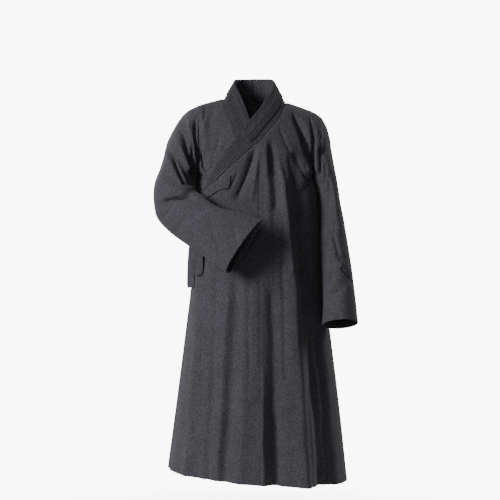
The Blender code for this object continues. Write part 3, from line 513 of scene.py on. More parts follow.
def foldDepth(chart, x, z, soft):
    # how deep the folds of one table press the cloth in at x, z
    total = np.zeros(np.broadcast(x, z).shape)
    for i in range(len(chart["x0"])):
        f = {name: column[i] for name, column in chart.items()}
        runX, runZ = f["x1"] - f["x0"], f["z1"] - f["z0"]
        length = math.hypot(runX, runZ)
        along = ((x - f["x0"]) * runX + (z - f["z0"]) * runZ) / length**2
        t = np.clip(along, 0, 1)
        aside = ((z - f["z0"]) * runX - (x - f["x0"]) * runZ) / length
        aside = aside - f["bow"] * 4 * t * (1 - t)
        wander = np.sin(7.3 * i + along * length * 21) + 0.6 * np.sin(2.1 * i + along * length * 47)
        aside = aside + foldLook["wander"] * wander * ease(length / 0.3)
        reach = np.where(aside < 0, f["low"], f["high"])
        near = np.abs(aside) / reach
        near = (np.sqrt(near**2 + soft**2) - soft) / (math.sqrt(1 + soft**2) - soft)
        across = np.clip(1 - near, 0, 1) ** foldLook["sharp"]
        past = np.abs(along - t) * length
        ends = ease(1 - past / (0.8 * f["low"])) * ease(0.25 + t * length / 0.05)
        uneven = 1 + foldLook["uneven"] * np.sin(3.7 * i + along * length * 17)
        total = total + (f["depth0"] + (f["depth1"] - f["depth0"]) * t) * across * ends * uneven
    return total


def allDepth(charts, x, z):
    main, fine = charts
    return foldDepth(main, x, z, mainSoft) + foldDepth(fine, x, z, fineSoft)


def halfWidth(x, z):
    # of the trunk at a level, on the side of x
    right = smooth(z, trunkSections["z"], trunkSections["right"])
    left = smooth(z, trunkSections["z"], trunkSections["left"])
    return np.where(x < 0, right, left)


def bySide(x, values):
    # the value of the right side or of the left one
    return np.where(x < 0, values[-1], values[1])


def crownZ(x, sheet):
    # the level at which the shoulder closes, where no neck is cut out
    neck = bySide(x, neckX)
    top, tip = bySide(x, neckZ), bySide(x, tipZ)
    out = np.clip((np.abs(x) - neck) / (armholeX - neck), 0, 1)
    line = top + (tip - top) * out**1.2
    if sheet == rear:
        line = line + backNeckRise * ease(1 - np.abs(x) / neck)
    return line


def topLine(seam, x, sheet=fore):
    # the top edge of a panel: the collar's seam, and the shoulder beyond it
    beyond = np.abs(x) >= bySide(x, neckX) - 1e-9
    beyond = beyond & ((x < 0) == (seam["z"][0] > seam["z"][-1])) if seam else beyond
    level = (neckZ[-1] + neckZ[1]) / 2 - bySide(x, neckZ)
    backNeck = crownZ(x, rear) - backNeckDip * (1 - (x / bySide(x, neckX)) ** 2)
    backNeck = backNeck + level * ease(1 - np.abs(x) / backNeckBlend)
    inside = smooth(x, seam["x"], seam["z"]) if seam else backNeck
    return np.where(beyond, crownZ(x, sheet), inside)


def trunkPoint(x, z, sheet, out=0.0, folded=True):
    # the cloth of the trunk at x, z, moved outwards by a distance and inwards by the folds
    x, z = np.broadcast_arrays(np.asarray(x, float), np.asarray(z, float))
    centre = smooth(z, trunkSections["z"], trunkSections["front" if sheet == fore else "back"])
    share = np.clip(np.abs(x) / halfWidth(x, z), 0, 1)
    up = np.clip((z - armpitZ) / (crownZ(x, sheet) - armpitZ), 0, 1)
    centre = centre * np.sqrt(1 - up**6)
    # the armhole stands open, and its fullness runs out toward the middle of the chest
    inset = 1 - share
    start = armpitZ - edgeDrop * inset
    edgeUp = np.clip((z - start) / (crownZ(x, sheet) - start), 0, 1)
    edge = sheet * armholeDepth * (4 * edgeUp * (1 - edgeUp)) ** (0.45 + edgeSoft * inset)
    # the section is an ellipse at the hem, boxy at the chest and pointed at the shoulder
    power = 1 / trunkRound - 0.17 * ease((z + 0.60) / (armpitZ + 0.60))
    power = power + (0.87 - power) * ease(up / 0.3)
    y = edge + (centre - edge) * (1 - share**trunkRound) ** power
    beside = share**3 * np.sign(x) * ease((armpitZ + 0.02 - z) / 0.06)
    normal = unit(np.stack([beside, sheet * (1 - share**4) + sheet * 1e-6, 0 * z], -1))
    push = np.asarray(out, float) + 0 * x
    if folded:
        # no fold reaches the side seam or the shoulder
        calmSide = ease((1 - share) / 0.05)
        calmSide = calmSide + (1 - calmSide) * ease((z - armpitZ) / 0.03)
        calmTop = ease((crownZ(x, sheet) - z) / 0.035)
        push = push - allDepth(trunkFolds[sheet], x, z) * calmSide * calmTop
    return np.stack([x, y, z], -1) + normal * push[..., None]


def hemZ(x):
    return hemLevel + hemTilt * x


def gridNormals(points, closed=False):
    across = np.gradient(points, axis=1)
    if closed:
        across = (np.roll(points, -1, axis=1) - np.roll(points, 1, axis=1)) / 2
    return unit(np.cross(across, np.gradient(points, axis=0)))


def pathLength(points):
    return np.concatenate([[0], np.cumsum(lengths(np.diff(points, axis=0)))])


def spread(start, end, line, sheet, count):
    # places along a top line, evenly spaced on the cloth, from one x to another
    t = np.linspace(0, 1, 600)
    x = start + (end - start) * ease(ease(t))
    points = trunkPoint(x, line(x), sheet, folded=False)
    length = pathLength(points)
    return np.interp(np.linspace(0, length[-1], count + 1), length, x)


def panel(tops, line, shares, sheet, rowsLow, rowsHigh, level=None):
    # a grid on the trunk between two upright lines, from the hem to the points of its top line
    zTop = line(tops)
    zMid = np.minimum(armpitZ, zTop - 0.06) if rowsHigh else zTop
    low = np.linspace(0, 1, rowsLow + 1)[:, None]
    xHem = shares * halfWidth(shares, np.full(len(shares), hemLevel))
    z = hemZ(xHem) + (zMid - hemZ(xHem)) * low
    x = shares * halfWidth(shares + 0 * z, z)
    if rowsHigh:
        step = (1 - np.cos(np.pi * np.arange(1, rowsHigh + 1) / rowsHigh))[:, None] / 2
        xMid = shares * halfWidth(shares, zMid)
        z = np.concatenate([z, zMid + (zTop - zMid) * step])
        x = np.concatenate([x, xMid + (tops - xMid) * (1 - np.sqrt(1 - step))])
    points = trunkPoint(x, z, sheet, level(x, z) if level else 0.0)
    normals = gridNormals(points) * np.sign(-sheet * (shares[-1] - shares[0]))
    return points, normals


# Cloth at its seams: how deep it dips there, under the collar and elsewhere, and the pucker beside.
seamLook = {"dip": 0.0011, "collarDip": 0.0016, "width": 0.0045, "pucker": 0.0003, "puckerAt": 0.006}


def sinkEdge(grid, column=None, row=None, depth=seamLook["dip"]):
    # cloth dips toward a seam and puckers a little beside it
    points, normals = grid
    lines = points if row is None else points.swapaxes(0, 1)
    order = -1 if (column if row is None else row) < 0 else 1
    away = np.stack([pathLength(line[::order])[::order] for line in lines])
    away = away if row is None else away.T
    run = points.sum(-1) * 1.7
    pucker = np.sin(run * 330 + 3 * np.sin(run * 41)) * seamLook["pucker"]
    pucker = pucker * bell((away - seamLook["puckerAt"]) / 0.007)
    points -= normals * (depth * bell(away / seamLook["width"]) + pucker)[..., None]


def squareEdge(grid, column, axis, inward, rows=slice(None)):
    # turns an edge into the plane of its seam and draws it back by half of the gap
    points, normals = grid
    normals[rows, column, axis] = 0
    normals[rows, column] = unit(normals[rows, column])
    points[rows, column, axis] += inward * sewnGap / 2


def sideEdge(grid, column, sheet, rowsLow, rowsHigh):
    # the side seam below the armpit, the armhole above it
    points, normals = grid
    inward = -np.sign(points[0, column, 0])
    squareEdge(grid, column, 1, sheet, slice(0, rowsLow + 1))
    if rowsHigh:
        squareEdge(grid, column, 0, inward, slice(rowsLow + 1, None))
        near = lengths(points - points[rowsLow, column])
        points[..., 0] += inward * (clothThick + seamGap) / 2 * ease(1.3 - near / 0.016)
        normals[rowsLow, column] = unit(np.array([-inward, 0, -0.8]))


def shoulderEdge(grid, sheet):
    # the top edge beyond the neck stands level, beside that of the other sheet
    points, normals = grid
    on = np.abs(points[-1, :, 0]) > bySide(points[-1, :, 0], neckX) - 1e-6
    normals[-1, on, 1] = 0
    normals[-1, on, 0] *= 0.3
    normals[-1, on, 2] = 1
    points[-1, on, 1] += sheet * seamGap / 2
    normals[-1] = unit(normals[-1])


def line3d(chart, name):
    # the path of three columns of a table, such as ox, oy and oz
    return np.stack([chart[name + axis] for axis in "xyz"], -1)


def ringGrid(chart, side, rows, around, tuck, tuckLow):
    # a sleeve as rings between its outer and inner edge, from the armhole to the cuff
    outer, inner = line3d(chart, "o"), line3d(chart, "i")
    at = pathLength(outer) + pathLength(inner)
    where = np.linspace(0, at[-1], rows + 1)
    get = lambda values: smooth(where, at, values)
    outer, inner = curveAt(where, at, outer), curveAt(where, at, inner)
    middle = (outer + inner) / 2
    across = unit(inner - outer)
    front = unit(np.cross(np.gradient(middle, axis=0), across))
    front *= np.where(front[:, 1:2] > 0, -1, 1)
    front[0] = (0, -1, 0)
    angle = 2 * np.pi * np.arange(around) / around
    share = (1 - np.cos(angle)) / 2
    full = share[None, :] ** get(chart["pull"])[:, None]
    lift = (4 * full * (1 - full)).clip(0, 1) ** get(chart["ends"])[:, None]
    stand = np.where(angle < np.pi, get(chart["front"])[:, None], -get(chart["back"])[:, None])
    base = outer[:, None] + (inner - outer)[:, None] * share[None, :, None]
    points = base + front[:, None] * (lift * stand)[..., None]
    # behind the arm the cloth falls in beside the trunk
    behind = bell((share - 0.90) / 0.075) * (angle > np.pi)
    above = ease((inner[:, 2] - tuckLow) / 0.05) * ease(lengths(middle - middle[0]) / 0.03)
    points = points + across[:, None] * (above[:, None] * behind * tuck)[..., None]
    sheets = np.where(angle < np.pi, fore, rear)
    start = points[0].copy()
    for sheet in (fore, rear):
        on = sheets == sheet
        start[on] = trunkPoint(side * armholeX, points[0, on, 2], sheet)
    if side < 0:
        points, start, sheets, share = points[:, ::-1], start[::-1], sheets[::-1], share[::-1]
    normals = gridNormals(points, closed=True)
    near = ease(lengths(middle - middle[0]) / 0.022)[:, None]
    depth = np.zeros(points.shape[:2])
    for sheet in (fore, rear):
        on = sheets == sheet
        facing = np.clip(normals[:, on, 1] * sheet, 0, 1) ** 0.5 * ease((1 - share[on]) / innerCalm)
        depth[:, on] = allDepth(sleeveFolds[side][sheet], points[:, on, 0], points[:, on, 2]) * facing
    moved = points - normals * (depth * near)[..., None]
    moved = moved + (start - points[0])[None] * (1 - near)[..., None]
    normals = gridNormals(moved, closed=True)
    sinkEdge((moved, normals), row=0)
    normals = gridNormals(moved, closed=True)
    normals[0, :, 0] = 0
    normals[0] = unit(normals[0])
    moved[0, :, 0] = side * (armholeX + seamGap / 2)
    return moved, normals


def bandGrid(seam, neckRow, chart, level, columns, order):
    # a half of the collar band, from the points of its seam to the free edge of its table
    at, along = pathLength(line3d(chart, "s")), pathLength(seam)
    atNeck, alongNeck = at[neckRowOfTable], along[neckRow]
    front = at[-1] + (atNeck - at[-1]) * along / alongNeck
    back = atNeck * (1 - (along - alongNeck) / (along[-1] - alongNeck))
    place = np.where(along < alongNeck, front, back)
    edge = curveAt(place, at, line3d(chart, "f"))
    w = np.linspace(0, 1, columns + 1)[None, :, None]
    stand = seam[:, None] + (edge - seam)[:, None] * w
    chest = trunkPoint(stand[..., 0], stand[..., 2], fore, level)
    rise = ease((seam[:, 2] + 0.150) / 0.09)[:, None, None]
    rise = np.maximum(rise, ease((seam[:, 1] + 0.03) / 0.03)[:, None, None])
    offset = (seam[:, None] - chest[:, :1]) * (1 - w) * (1 - rise)
    points = chest * (1 - rise) + stand * rise + offset
    if order < 0:
        points = points[:, ::-1]
    return points, gridNormals(points)


def joinBand(band, column, owners, neckRow):
    # gives the band's seam edge and the panels' edge one direction, and parts them by the gap
    points, normals = band
    shared = np.zeros((len(owners), 3))
    for r, row in enumerate(owners):
        for grid, c in row:
            shared[r] += grid[1][-1, c] / len(row)
        shared[r] = unit(shared[r] + normals[r, column])
        for grid, c in row:
            shared[r][grid[1][-1, c] == 0] = 0
        shared[r] = unit(shared[r])
        for grid, c in row:
            grid[1][-1, c] = shared[r]
    inner = points[:, 1] if column == 0 else points[:, -2]
    along = np.gradient(points[:, column], axis=0)
    aside = unit(np.cross(shared, along))
    aside *= np.sign(np.sum(aside * (inner - points[:, column]), axis=1))[:, None]
    distance = lengths(points[:, column] - points[neckRow, column])
    turn = 1 + 1.4 * bell(distance / 0.022)  # wider where it turns over the shoulder
    points[:, column] += aside * (collarGap * turn)[:, None]
    normals[:, column] = shared


def seamOf(parts):
    # one line of points along the top edges of neighbouring panels, with the owners of each
    points, owners = [], []
    for grid, columns in parts:
        for k, c in enumerate(columns):
            p = grid[0][-1, c]
            if points and k == 0:
                points[-1] = (points[-1] + p) / 2
                owners[-1].append((grid, c))
            else:
                points.append(p.copy())
                owners.append([(grid, c)])
    return np.array(points), owners


def sewBand(parts, chart, level, order, columns):
    # a half of the collar band, sewn to the panels' top edges and squared at the back
    points, owners = seamOf(parts)
    neckRow = max(r for r, row in enumerate(owners) if len(row) == 2)
    points[-1, 0] = 0
    band = bandGrid(points, neckRow, chart, level, columns, order)
    joinBand(band, 0 if order > 0 else -1, owners, neckRow)
    backLine = np.linspace(0, chart["fx"][0], columns + 1)
    band[0][-1, :, 0] = (backLine if order > 0 else backLine[::-1]) - order * sewnGap / 2
    band[1][-1] = unit(band[1][-1] * (0, 1, 1))
    return band


def sines(start, end, count):
    # shares of the half width, evenly spaced round the trunk
    return np.sin(np.linspace(math.asin(start), math.asin(end), count + 1))


def innerLevel(x, z):
    # how far the hidden front lies under the outer one, coming out to the side seam and armhole
    share = np.abs(x) / halfWidth(x, z)
    low = ease((1 - share) / 0.03)
    high = ease((x + armholeX) / 0.045)
    mix = ease((z - armpitZ) / 0.03)
    weight = np.where(x < 0, low + (high - low) * mix, 1)
    return -layerGap * weight * ease((crownZ(x, fore) - z) / 0.09)


def resample(path, count):
    # a smooth path through a few points
    at = pathLength(path)
    return curveAt(np.linspace(0, at[-1], count), at, np.array(path))


def between(rows, count):
    # even steps through a few directions or widths
    rows = np.asarray(rows, float)
    where = np.linspace(0, len(rows) - 1, count)
    return np.stack([np.interp(where, np.arange(len(rows)), rows[:, k]) for k in range(rows.shape[1])], -1)


def flatPlaces(points):
    # where each point of a grid lay on the flat cloth: across from the first column, up from the hem
    u = np.zeros(points.shape[:2])
    v = np.zeros(points.shape[:2])
    u[:, 1:] = np.cumsum(lengths(np.diff(points, axis=1)), axis=1)
    v[1:] = np.cumsum(lengths(np.diff(points, axis=0)), axis=0)
    return u, v


rimRound = 0.0007  # the rounding of every cloth edge


def layCloth(name, grid, thick, material, slotName, closed=False, pressed=None):
    # a flat grid of cloth is laid on its form, given its thickness and rounded round its edge
    points, normals = grid
    if closed:
        points = np.concatenate([points, points[:, :1]], 1)
        normals = np.concatenate([normals, normals[:, :1]], 1)
    rows, columns = points.shape[:2]
    outside = (points + normals * thick / 2).reshape(-1, 3)
    inside = (points - normals * thick / 2).reshape(-1, 3)
    u, v = (values.ravel() for values in flatPlaces(points))
    bm = bmesh.new()
    bmesh.ops.create_grid(bm, x_segments=columns - 1, y_segments=rows - 1, size=1)
    place = bm.verts.layers.int.new("place")
    # the pressed attribute carries the painted shade of the grooves to the material
    press = bm.verts.layers.float.new("pressed")
    depth = np.zeros(rows * columns) if pressed is None else pressed.ravel()
    flat = bm.loops.layers.uv.new("cloth")
    for vert in bm.verts:
        column = round((vert.co.x + 1) / 2 * (columns - 1))
        row = round((vert.co.y + 1) / 2 * (rows - 1))
        vert[place] = row * columns + column
    for face in bm.faces:
        for loop in face.loops:
            at = loop.vert[place]
            loop[flat].uv = (u[at], v[at])
    for vert in bm.verts:
        vert.co = inside[vert[place]]
        vert[press] = depth[vert[place]]
    if closed:
        seam = [vert for vert in bm.verts if vert[place] % columns in (0, columns - 1)]
        bmesh.ops.remove_doubles(bm, verts=seam, dist=1e-6)
    lining = bm.faces[:]
    hems = [vert for vert in bm.verts if vert.is_boundary]
    copied = bmesh.ops.duplicate(bm, geom=bm.verts[:] + bm.edges[:] + lining)["geom"]
    for part in copied:
        if isinstance(part, bmesh.types.BMVert):
            part.co = outside[part[place]]
    bmesh.ops.reverse_faces(bm, faces=lining)
    # the cover's edges are turned in and sewn to the lining's
    openEdges = [part for part in copied if isinstance(part, bmesh.types.BMEdge) and part.is_boundary]
    turned = bmesh.ops.extrude_edge_only(bm, edges=openEdges)["geom"]
    ends = [part for part in turned if isinstance(part, bmesh.types.BMFace)]
    ring = [part for part in turned if isinstance(part, bmesh.types.BMVert)]
    for vert in ring:
        vert.co = inside[vert[place]]
    bmesh.ops.remove_doubles(bm, verts=ring + hems, dist=1e-7)
    sharp = {edge for face in ends for edge in face.edges if any(f not in ends for f in edge.link_faces)}
    bmesh.ops.bevel(
        bm, geom=list(sharp), affect="EDGES", offset=rimRound, segments=2, profile=0.5, material=-1,
        clamp_overlap=True,
    )
    return toPiece(name, bm, material)


def toPiece(name, bm, material):
    # a finished shape becomes a piece of the robe
    for face in bm.faces:
        face.smooth = True
    mesh = bpy.data.meshes.new(name)
    bm.to_mesh(mesh)
    bm.free()
    mesh.materials.append(material)
    piece = bpy.data.objects.new(name, mesh)
    bpy.context.scene.collection.objects.link(piece)
    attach(piece, "root")
    print("made", name, len(mesh.polygons))
    return piece


# Wool flannel, milled so that the weave hardly shows. Lengths in metres.
woolLook = {
    "shade": (0.0530, 0.0525, 0.0625),
    "dark": (0.0130, 0.0130, 0.0160),
    "light": (0.1450, 0.1440, 0.1650),
    "fibre": 0.0011,
    "fleck": 0.0034,
    "cloud": 0.060,
    "rib": 0.0016,
    "bump": 0.0005,
    "bumpStrength": 0.55,
    "sheen": 0.10,
    "melange": (0.40, 0.50, 0.06, 0.04),  # shares of fibre, fleck, cloud and rib in the colour
    "stops": (0.34, 0.50, 0.66),  # where the dark, the shade and the light colour lie
    "grooveShade": (0.25, 0.25, 0.28, 1),  # painted shade: what the colour is multiplied by in a stitched groove and along a seam edge
}
collarLook = dict(woolLook, shade=(0.0470, 0.0465, 0.0555), light=(0.128, 0.127, 0.147), fibre=0.0010)
guardLook = dict(collarLook, shade=(0.0390, 0.0385, 0.0465), light=(0.105, 0.104, 0.122))


def woolMaterial(name, look):
    material = bpy.data.materials.new(name)
    tree = newTree(material)
    place = tree.node("ShaderNodeTexCoord", out="Object")
    flat = tree.node("ShaderNodeUVMap", {"uv_map": "cloth"})

    def grain(size, detail, rough=0.6, bend=0.0):
        return tree.node(
            "ShaderNodeTexNoise", {"noise_dimensions": "3D"},
            {"Vector": place, "Scale": 1 / size, "Detail": detail, "Roughness": rough, "Distortion": bend},
        )

    fibre = grain(look["fibre"], 2.0)
    fleck = grain(look["fleck"], 3.0, 0.7, 0.6)
    cloud = grain(look["cloud"], 3.0)
    turned = tree.node("ShaderNodeMapping", {}, {"Vector": flat, "Rotation": (0, 0, math.radians(58))})
    ribs = tree.node(
        "ShaderNodeTexWave", {"wave_type": "BANDS", "bands_direction": "X"},
        {"Vector": turned, "Scale": 0.314 / look["rib"], "Distortion": 2.2, "Detail": 2.0, "Detail Scale": 2.0},
        out="Fac",
    )
    shares = look["melange"]
    mix = fibre * shares[0] + fleck * shares[1] + cloud * shares[2] + ribs * shares[3]
    pressed = tree.node("ShaderNodeAttribute", {"attribute_name": "pressed"}, out="Fac")
    stops = list(zip(look["stops"], (look["dark"], look["shade"], look["light"])))
    colour = tree.node("ShaderNodeValToRGB", {"stops": stops}, {0: mix})
    # painted shade: the colour is darkened in the stitched grooves and along the seam edges of the bands, where
    # shade falls
    colour = tree.node(
        "ShaderNodeMix", {"data_type": "RGBA", "blend_type": "MULTIPLY"},
        {"Factor": pressed * 0.75, 6: colour, 7: look["grooveShade"]}, out=2,
    )
    rough = 0.82 + fibre * 0.16
    height = fibre * 0.7 + fleck * 0.5 + ribs * 0.35
    strength = {"Strength": look["bumpStrength"], "Distance": look["bump"]}
    bump = tree.node("ShaderNodeBump", {}, {"Height": height, **strength})
    inputs = {"Base Color": colour, "Roughness": rough, "Normal": bump}
    inputs.update({"Sheen Weight": look["sheen"], "Sheen Roughness": 0.5, "Specular IOR Level": 0.25})
    shader = tree.node("ShaderNodeBsdfPrincipled", {}, inputs)
    tree.node("ShaderNodeOutputMaterial", {}, {"Surface": shader})
    return material


wool = woolMaterial("wool_flannel", woolLook)
collarWool = woolMaterial("wool_collar", collarLook)
guardWool = woolMaterial("wool_guard", guardLook)


def steps(length, fine):
    # how many steps of a size fit on a length
    return max(2, round(length / fine * density))


# The trunk: five panels, and the tape behind the seam of the back.
trunkCut = {
    "front": 0.0042,  # the step of the cloth's grid, also on the hidden front and the back
    "hidden": 0.0065,
    "back": 0.0058,
    "drop": 0.98,  # from the armpit to the hem
    "rise": 0.26,  # from the armpit to the shoulder
    "stitchedHem": 0.042,
    "hemDip": 0.0005,
    "tape": 0.014,
    "tapeDepth": 0.0031,
}


def finishHem(grid):
    # the turned-up hem shows as a faint line a little above the edge
    points, normals = grid
    up = points[..., 2] - points[0, :, 2]
    line = bell((up - trunkCut["stitchedHem"]) / 0.0035)
    swell = ease(1 - up / trunkCut["stitchedHem"]) * 0.0004
    ripple = 0.5 + 0.5 * np.sin(points[..., 0] * 420 + 2 * np.sin(points[..., 0] * 60))
    points += normals * (swell - line * trunkCut["hemDip"] * (0.6 + 0.4 * ripple))[..., None]


def sewPanel(grid, sheet, low, high, centre=None, side=None, inward=0, depth=seamLook["dip"]):
    # finishes a panel's edges: centre is the column of its middle seam, side that of its side seam
    if centre is not None:
        finishHem(grid)
        squareEdge(grid, centre, 0, inward)
    if side is not None:
        sideEdge(grid, side, sheet, low, high)
        shoulderEdge(grid, sheet)
    if centre is not None:
        sinkEdge(grid, column=centre)
    sinkEdge(grid, row=-1, depth=depth)
    if side is not None:
        sinkEdge(grid, column=side)


def buildTrunk():
    outerLine = lambda x: topLine(outerSeam, x)
    innerLine = lambda x: topLine(innerSeam, x)
    backLine = lambda x: topLine(None, x, rear)
    # each top edge is counted in steps of the grid, from its length
    right, left = -neckX[-1], neckX[1]
    front, hidden, back = trunkCut["front"], trunkCut["hidden"], trunkCut["back"]
    drop, rise, collarDip = trunkCut["drop"], trunkCut["rise"], seamLook["collarDip"]

    neck, shoulder = steps(0.175, front * 0.6), steps(0.095, front * 0.6)
    low, high = steps(drop, front), steps(rise, front)
    tops = np.concatenate([
        spread(centreTop, left, outerLine, fore, neck),
        np.linspace(left, armholeX, shoulder + 1)[1:],
    ])
    leftFront = panel(tops, outerLine, sines(centreShare, 1, neck + shoulder), fore, low, high)
    sewPanel(leftFront, fore, low, high, centre=0, side=-1, inward=1, depth=collarDip)

    free, sewn = steps(0.085, front * 0.55), steps(0.16, front * 0.55)
    tops = np.concatenate([
        np.linspace(overlapShare * armholeX, bandEndX, free + 1)[:-1],
        np.linspace(bandEndX, centreTop, sewn + 1),
    ])
    low = steps(0.93, front)
    overlap = panel(tops, outerLine, sines(overlapShare, centreShare, free + sewn), fore, low, 0)
    sewPanel(overlap, fore, low, 0, centre=-1, inward=-1, depth=collarDip)
    sewnOverlap = range(free, free + sewn + 1)

    shoulderIn, neckIn = steps(0.085, hidden * 0.6), steps(0.20, hidden * 0.6)
    low, high = steps(drop, hidden), steps(rise, front)
    tops = np.concatenate([
        np.linspace(-armholeX, right, shoulderIn + 1)[:-1],
        spread(right, 0.030, innerLine, fore, neckIn),
    ])
    rightFront = panel(tops, innerLine, sines(-1, 0.15, shoulderIn + neckIn), fore, low, high, innerLevel)
    sewPanel(rightFront, fore, low, high, side=0)
    sewnInner = range(shoulderIn + neckIn, shoulderIn - 1, -1)

    backs = {}
    low, high = steps(drop, back), steps(rise, back)
    neckBack, shoulderBack = steps(0.12, back * 0.6), steps(0.095, back * 0.6)
    for side in sides:
        tops = np.concatenate([
            spread(0, side * neckX[side], backLine, rear, neckBack),
            np.linspace(side * neckX[side], side * armholeX, shoulderBack + 1)[1:],
        ])
        grid = panel(tops, backLine, side * sines(0, 1, neckBack + shoulderBack), rear, low, high)
        sewPanel(grid, rear, low, high, centre=0, side=-1, inward=side)
        if side > 0:
            grid = (grid[0][:, ::-1].copy(), grid[1][:, ::-1].copy())
        backs[side] = grid
    total = neckBack + shoulderBack
    outerParts = [
        (overlap, sewnOverlap), (leftFront, range(0, neck + 1)), (backs[1], range(shoulderBack, total + 1))
    ]
    innerParts = [(rightFront, sewnInner), (backs[-1], range(neckBack, -1, -1))]
    return (leftFront, overlap, rightFront, backs[-1], backs[1]), outerParts, innerParts


# The collar: rows of stitching by their distance from the seam, each also a line of painted shade, and the
# guard over its upper part.
collarCut = {
    "columns": 60,
    # the first outer and inner rows lie on the seam edge and paint a shaded line along it
    "outerRows": (0.0004, 0.0095, 0.0180),
    "quilt": 0.0070,  # from one quilted row to the next, below the guard
    "quiltReach": (0.0250, 0.062),
    "innerRows": (0.0004, 0.0060, 0.0150),
    "groove": 0.0010,
    "grooveWidth": 0.0013,
    "puff": 0.0006,
    "guardLift": 0.0010,
    "guardStart": 0.27,  # the share of the band that the guard leaves bare
    "guardEndX": -0.012,
    "guardStopZ": -0.165,
    "guardRows": (0.0028, 0.0105, 0.0185, 0.0450),
    "guardColumns": 44,
}


def groove(grid, away, rows, fade=1.0):
    # presses stitch rows into a grid whose points lie away from its seam, and gives back where they paint shade
    # into the colour
    points, normals = grid
    press = np.zeros(away.shape)
    for row in rows:
        press = np.maximum(press, bell((away - row) / collarCut["grooveWidth"]))
    press = press * fade
    points -= normals * (press * collarCut["groove"])[..., None]
    return press


def seamDistance(grid, seamColumn):
    points = grid[0] if seamColumn == 0 else grid[0][:, ::-1]
    away = flatPlaces(points)[0]
    return away if seamColumn == 0 else away[:, ::-1]


def guardGrid(outer, inner):
    # the guard lies on the upper part of the band, from the left chest round to the right one
    start = np.argmax(outer[0][:, -1, 0] > collarCut["guardEndX"])
    stop = np.argmax(inner[0][:, 0, 2] > collarCut["guardStopZ"])
    shares = np.linspace(collarCut["guardStart"], 0.985, collarCut["guardColumns"]) * (outer[0].shape[1] - 1)
    low = shares.astype(int)
    part = (shares - low)[None, :, None]
    strips = []
    for grid in ((outer[0][start:, ::-1], outer[1][start:, ::-1]), (inner[0][stop:], inner[1][stop:])):
        strips.append([values[:, low] * (1 - part) + values[:, low + 1] * part for values in grid])
    (first, firstNormals), (second, secondNormals) = strips
    middle = (first[-1:] + second[-1:]) / 2
    points = np.concatenate([first[:-1], middle, second[-2::-1]])
    normals = unit(np.concatenate([firstNormals, secondNormals[-2::-1]]))
    points = points + normals * (bandThick / 2 + collarCut["guardLift"] + clothThick / 2)
    return (points[:, ::-1], normals[:, ::-1]), start


def buildCollar(outerParts, innerParts):
    columns = max(12, round(collarCut["columns"] * density))
    outer = sewBand(outerParts, outerBandRows, 0.0, -1, columns)
    inner = sewBand(innerParts, innerBandRows, -layerGap, 1, columns)
    guard, start = guardGrid(outer, inner)

    away = seamDistance(outer, -1)
    pressed = groove(outer, away, collarCut["outerRows"])
    below = ease((start - np.arange(len(away))) / 4)[:, None]
    quilted = np.arange(*collarCut["quiltReach"], collarCut["quilt"])
    pressed = np.maximum(pressed, groove(outer, away, quilted, below))
    puff = np.sin(away / collarCut["quilt"] * np.pi) ** 2 * below * collarCut["puff"]
    outer[0][...] += outer[1] * puff[..., None]
    pressedInner = groove(inner, seamDistance(inner, 0), collarCut["innerRows"])
    across = flatPlaces(guard[0])[0]
    pressedGuard = groove(guard, across[:, -1:] - across, collarCut["guardRows"])
    return (outer, pressed), (inner, pressedInner), (guard, pressedGuard)


# The sleeves, by side where they differ.
sleeveCut = {
    "length": {-1: 0.62, 1: 0.70},
    "along": 0.0034,  # the step of the cloth's grid
    "round": 160,
    "facing": 0.028,  # how far the cuff is turned in, and the row of stitches that holds it
    "hemLine": 0.030,
    "hemDip": 0.0005,
    "tuck": 0.004,  # how far the cloth behind the arm falls in, down to a level
    "tuckLow": {-1: -0.335, 1: -0.50},
}


def buildSleeve(chart, side):
    length = sleeveCut["length"][side]
    rows, around = steps(length, sleeveCut["along"]), max(40, round(sleeveCut["round"] * density))
    points, normals = ringGrid(chart, side, rows, around, sleeveCut["tuck"], sleeveCut["tuckLow"][side])
    line = bell((lengths(points - points[-1:]) - sleeveCut["hemLine"]) / 0.0028)
    points = points - normals * (line * sleeveCut["hemDip"])[..., None]
    reach = max(2, round(sleeveCut["facing"] / (length / rows)))
    facing = points[-reach - 1 :] - normals[-reach - 1 :] * (clothThick + seamGap)
    return (points, normals), (facing, normals[-reach - 1 :])


# The knot and ties at the right side.
tieCut = {
    "knot": (-0.2124, -0.032, -0.405),
    "knotSize": (0.014, 0.024, 0.021),  # half of its extents
    "frontWidth": 0.042,
    "backWidth": 0.038,
    "sideWidth": 0.030,
    "corner": 0.25,  # the share of the width that the rounded corners take up, and their length
    "cornerReach": 0.012,
}


def ribbon(path, facing, width, narrow=None):
    # a flat tie along a path, facing a direction at each point; a narrowed one has round corners
    columns = 12
    path, facing = np.asarray(path, float), unit(np.asarray(facing, float))
    along = unit(np.gradient(path, axis=0))
    aside = unit(np.cross(facing, along))
    facing = unit(np.cross(along, aside))
    width = width * (np.ones(len(path)) if narrow is None else narrow)
    across = np.linspace(-0.5, 0.5, columns + 1)[None, :, None]
    points = path[:, None] + aside[:, None] * across * width[:, None, None]
    if narrow is not None:
        corner = np.clip(np.abs(across[..., 0]) * 2 - (1 - tieCut["corner"]), 0, 1) / tieCut["corner"]
        left = pathLength(path)[-1] - pathLength(path)
        draw = (1 - np.sqrt(1 - corner**2)) * tieCut["cornerReach"] * ease(1 - left / 0.03)[:, None]
        points = points - along[:, None] * draw[..., None]
    fold = np.sin(across[..., 0] * 9 + np.arange(len(path))[:, None] * 0.10) * 0.0006
    points = points + facing[:, None] * fold[..., None]
    normals = np.repeat(facing[:, None], columns + 1, axis=1)
    if np.sum(gridNormals(points) * normals) < 0:
        points, normals = points[:, ::-1], normals[:, ::-1]
    return points, normals


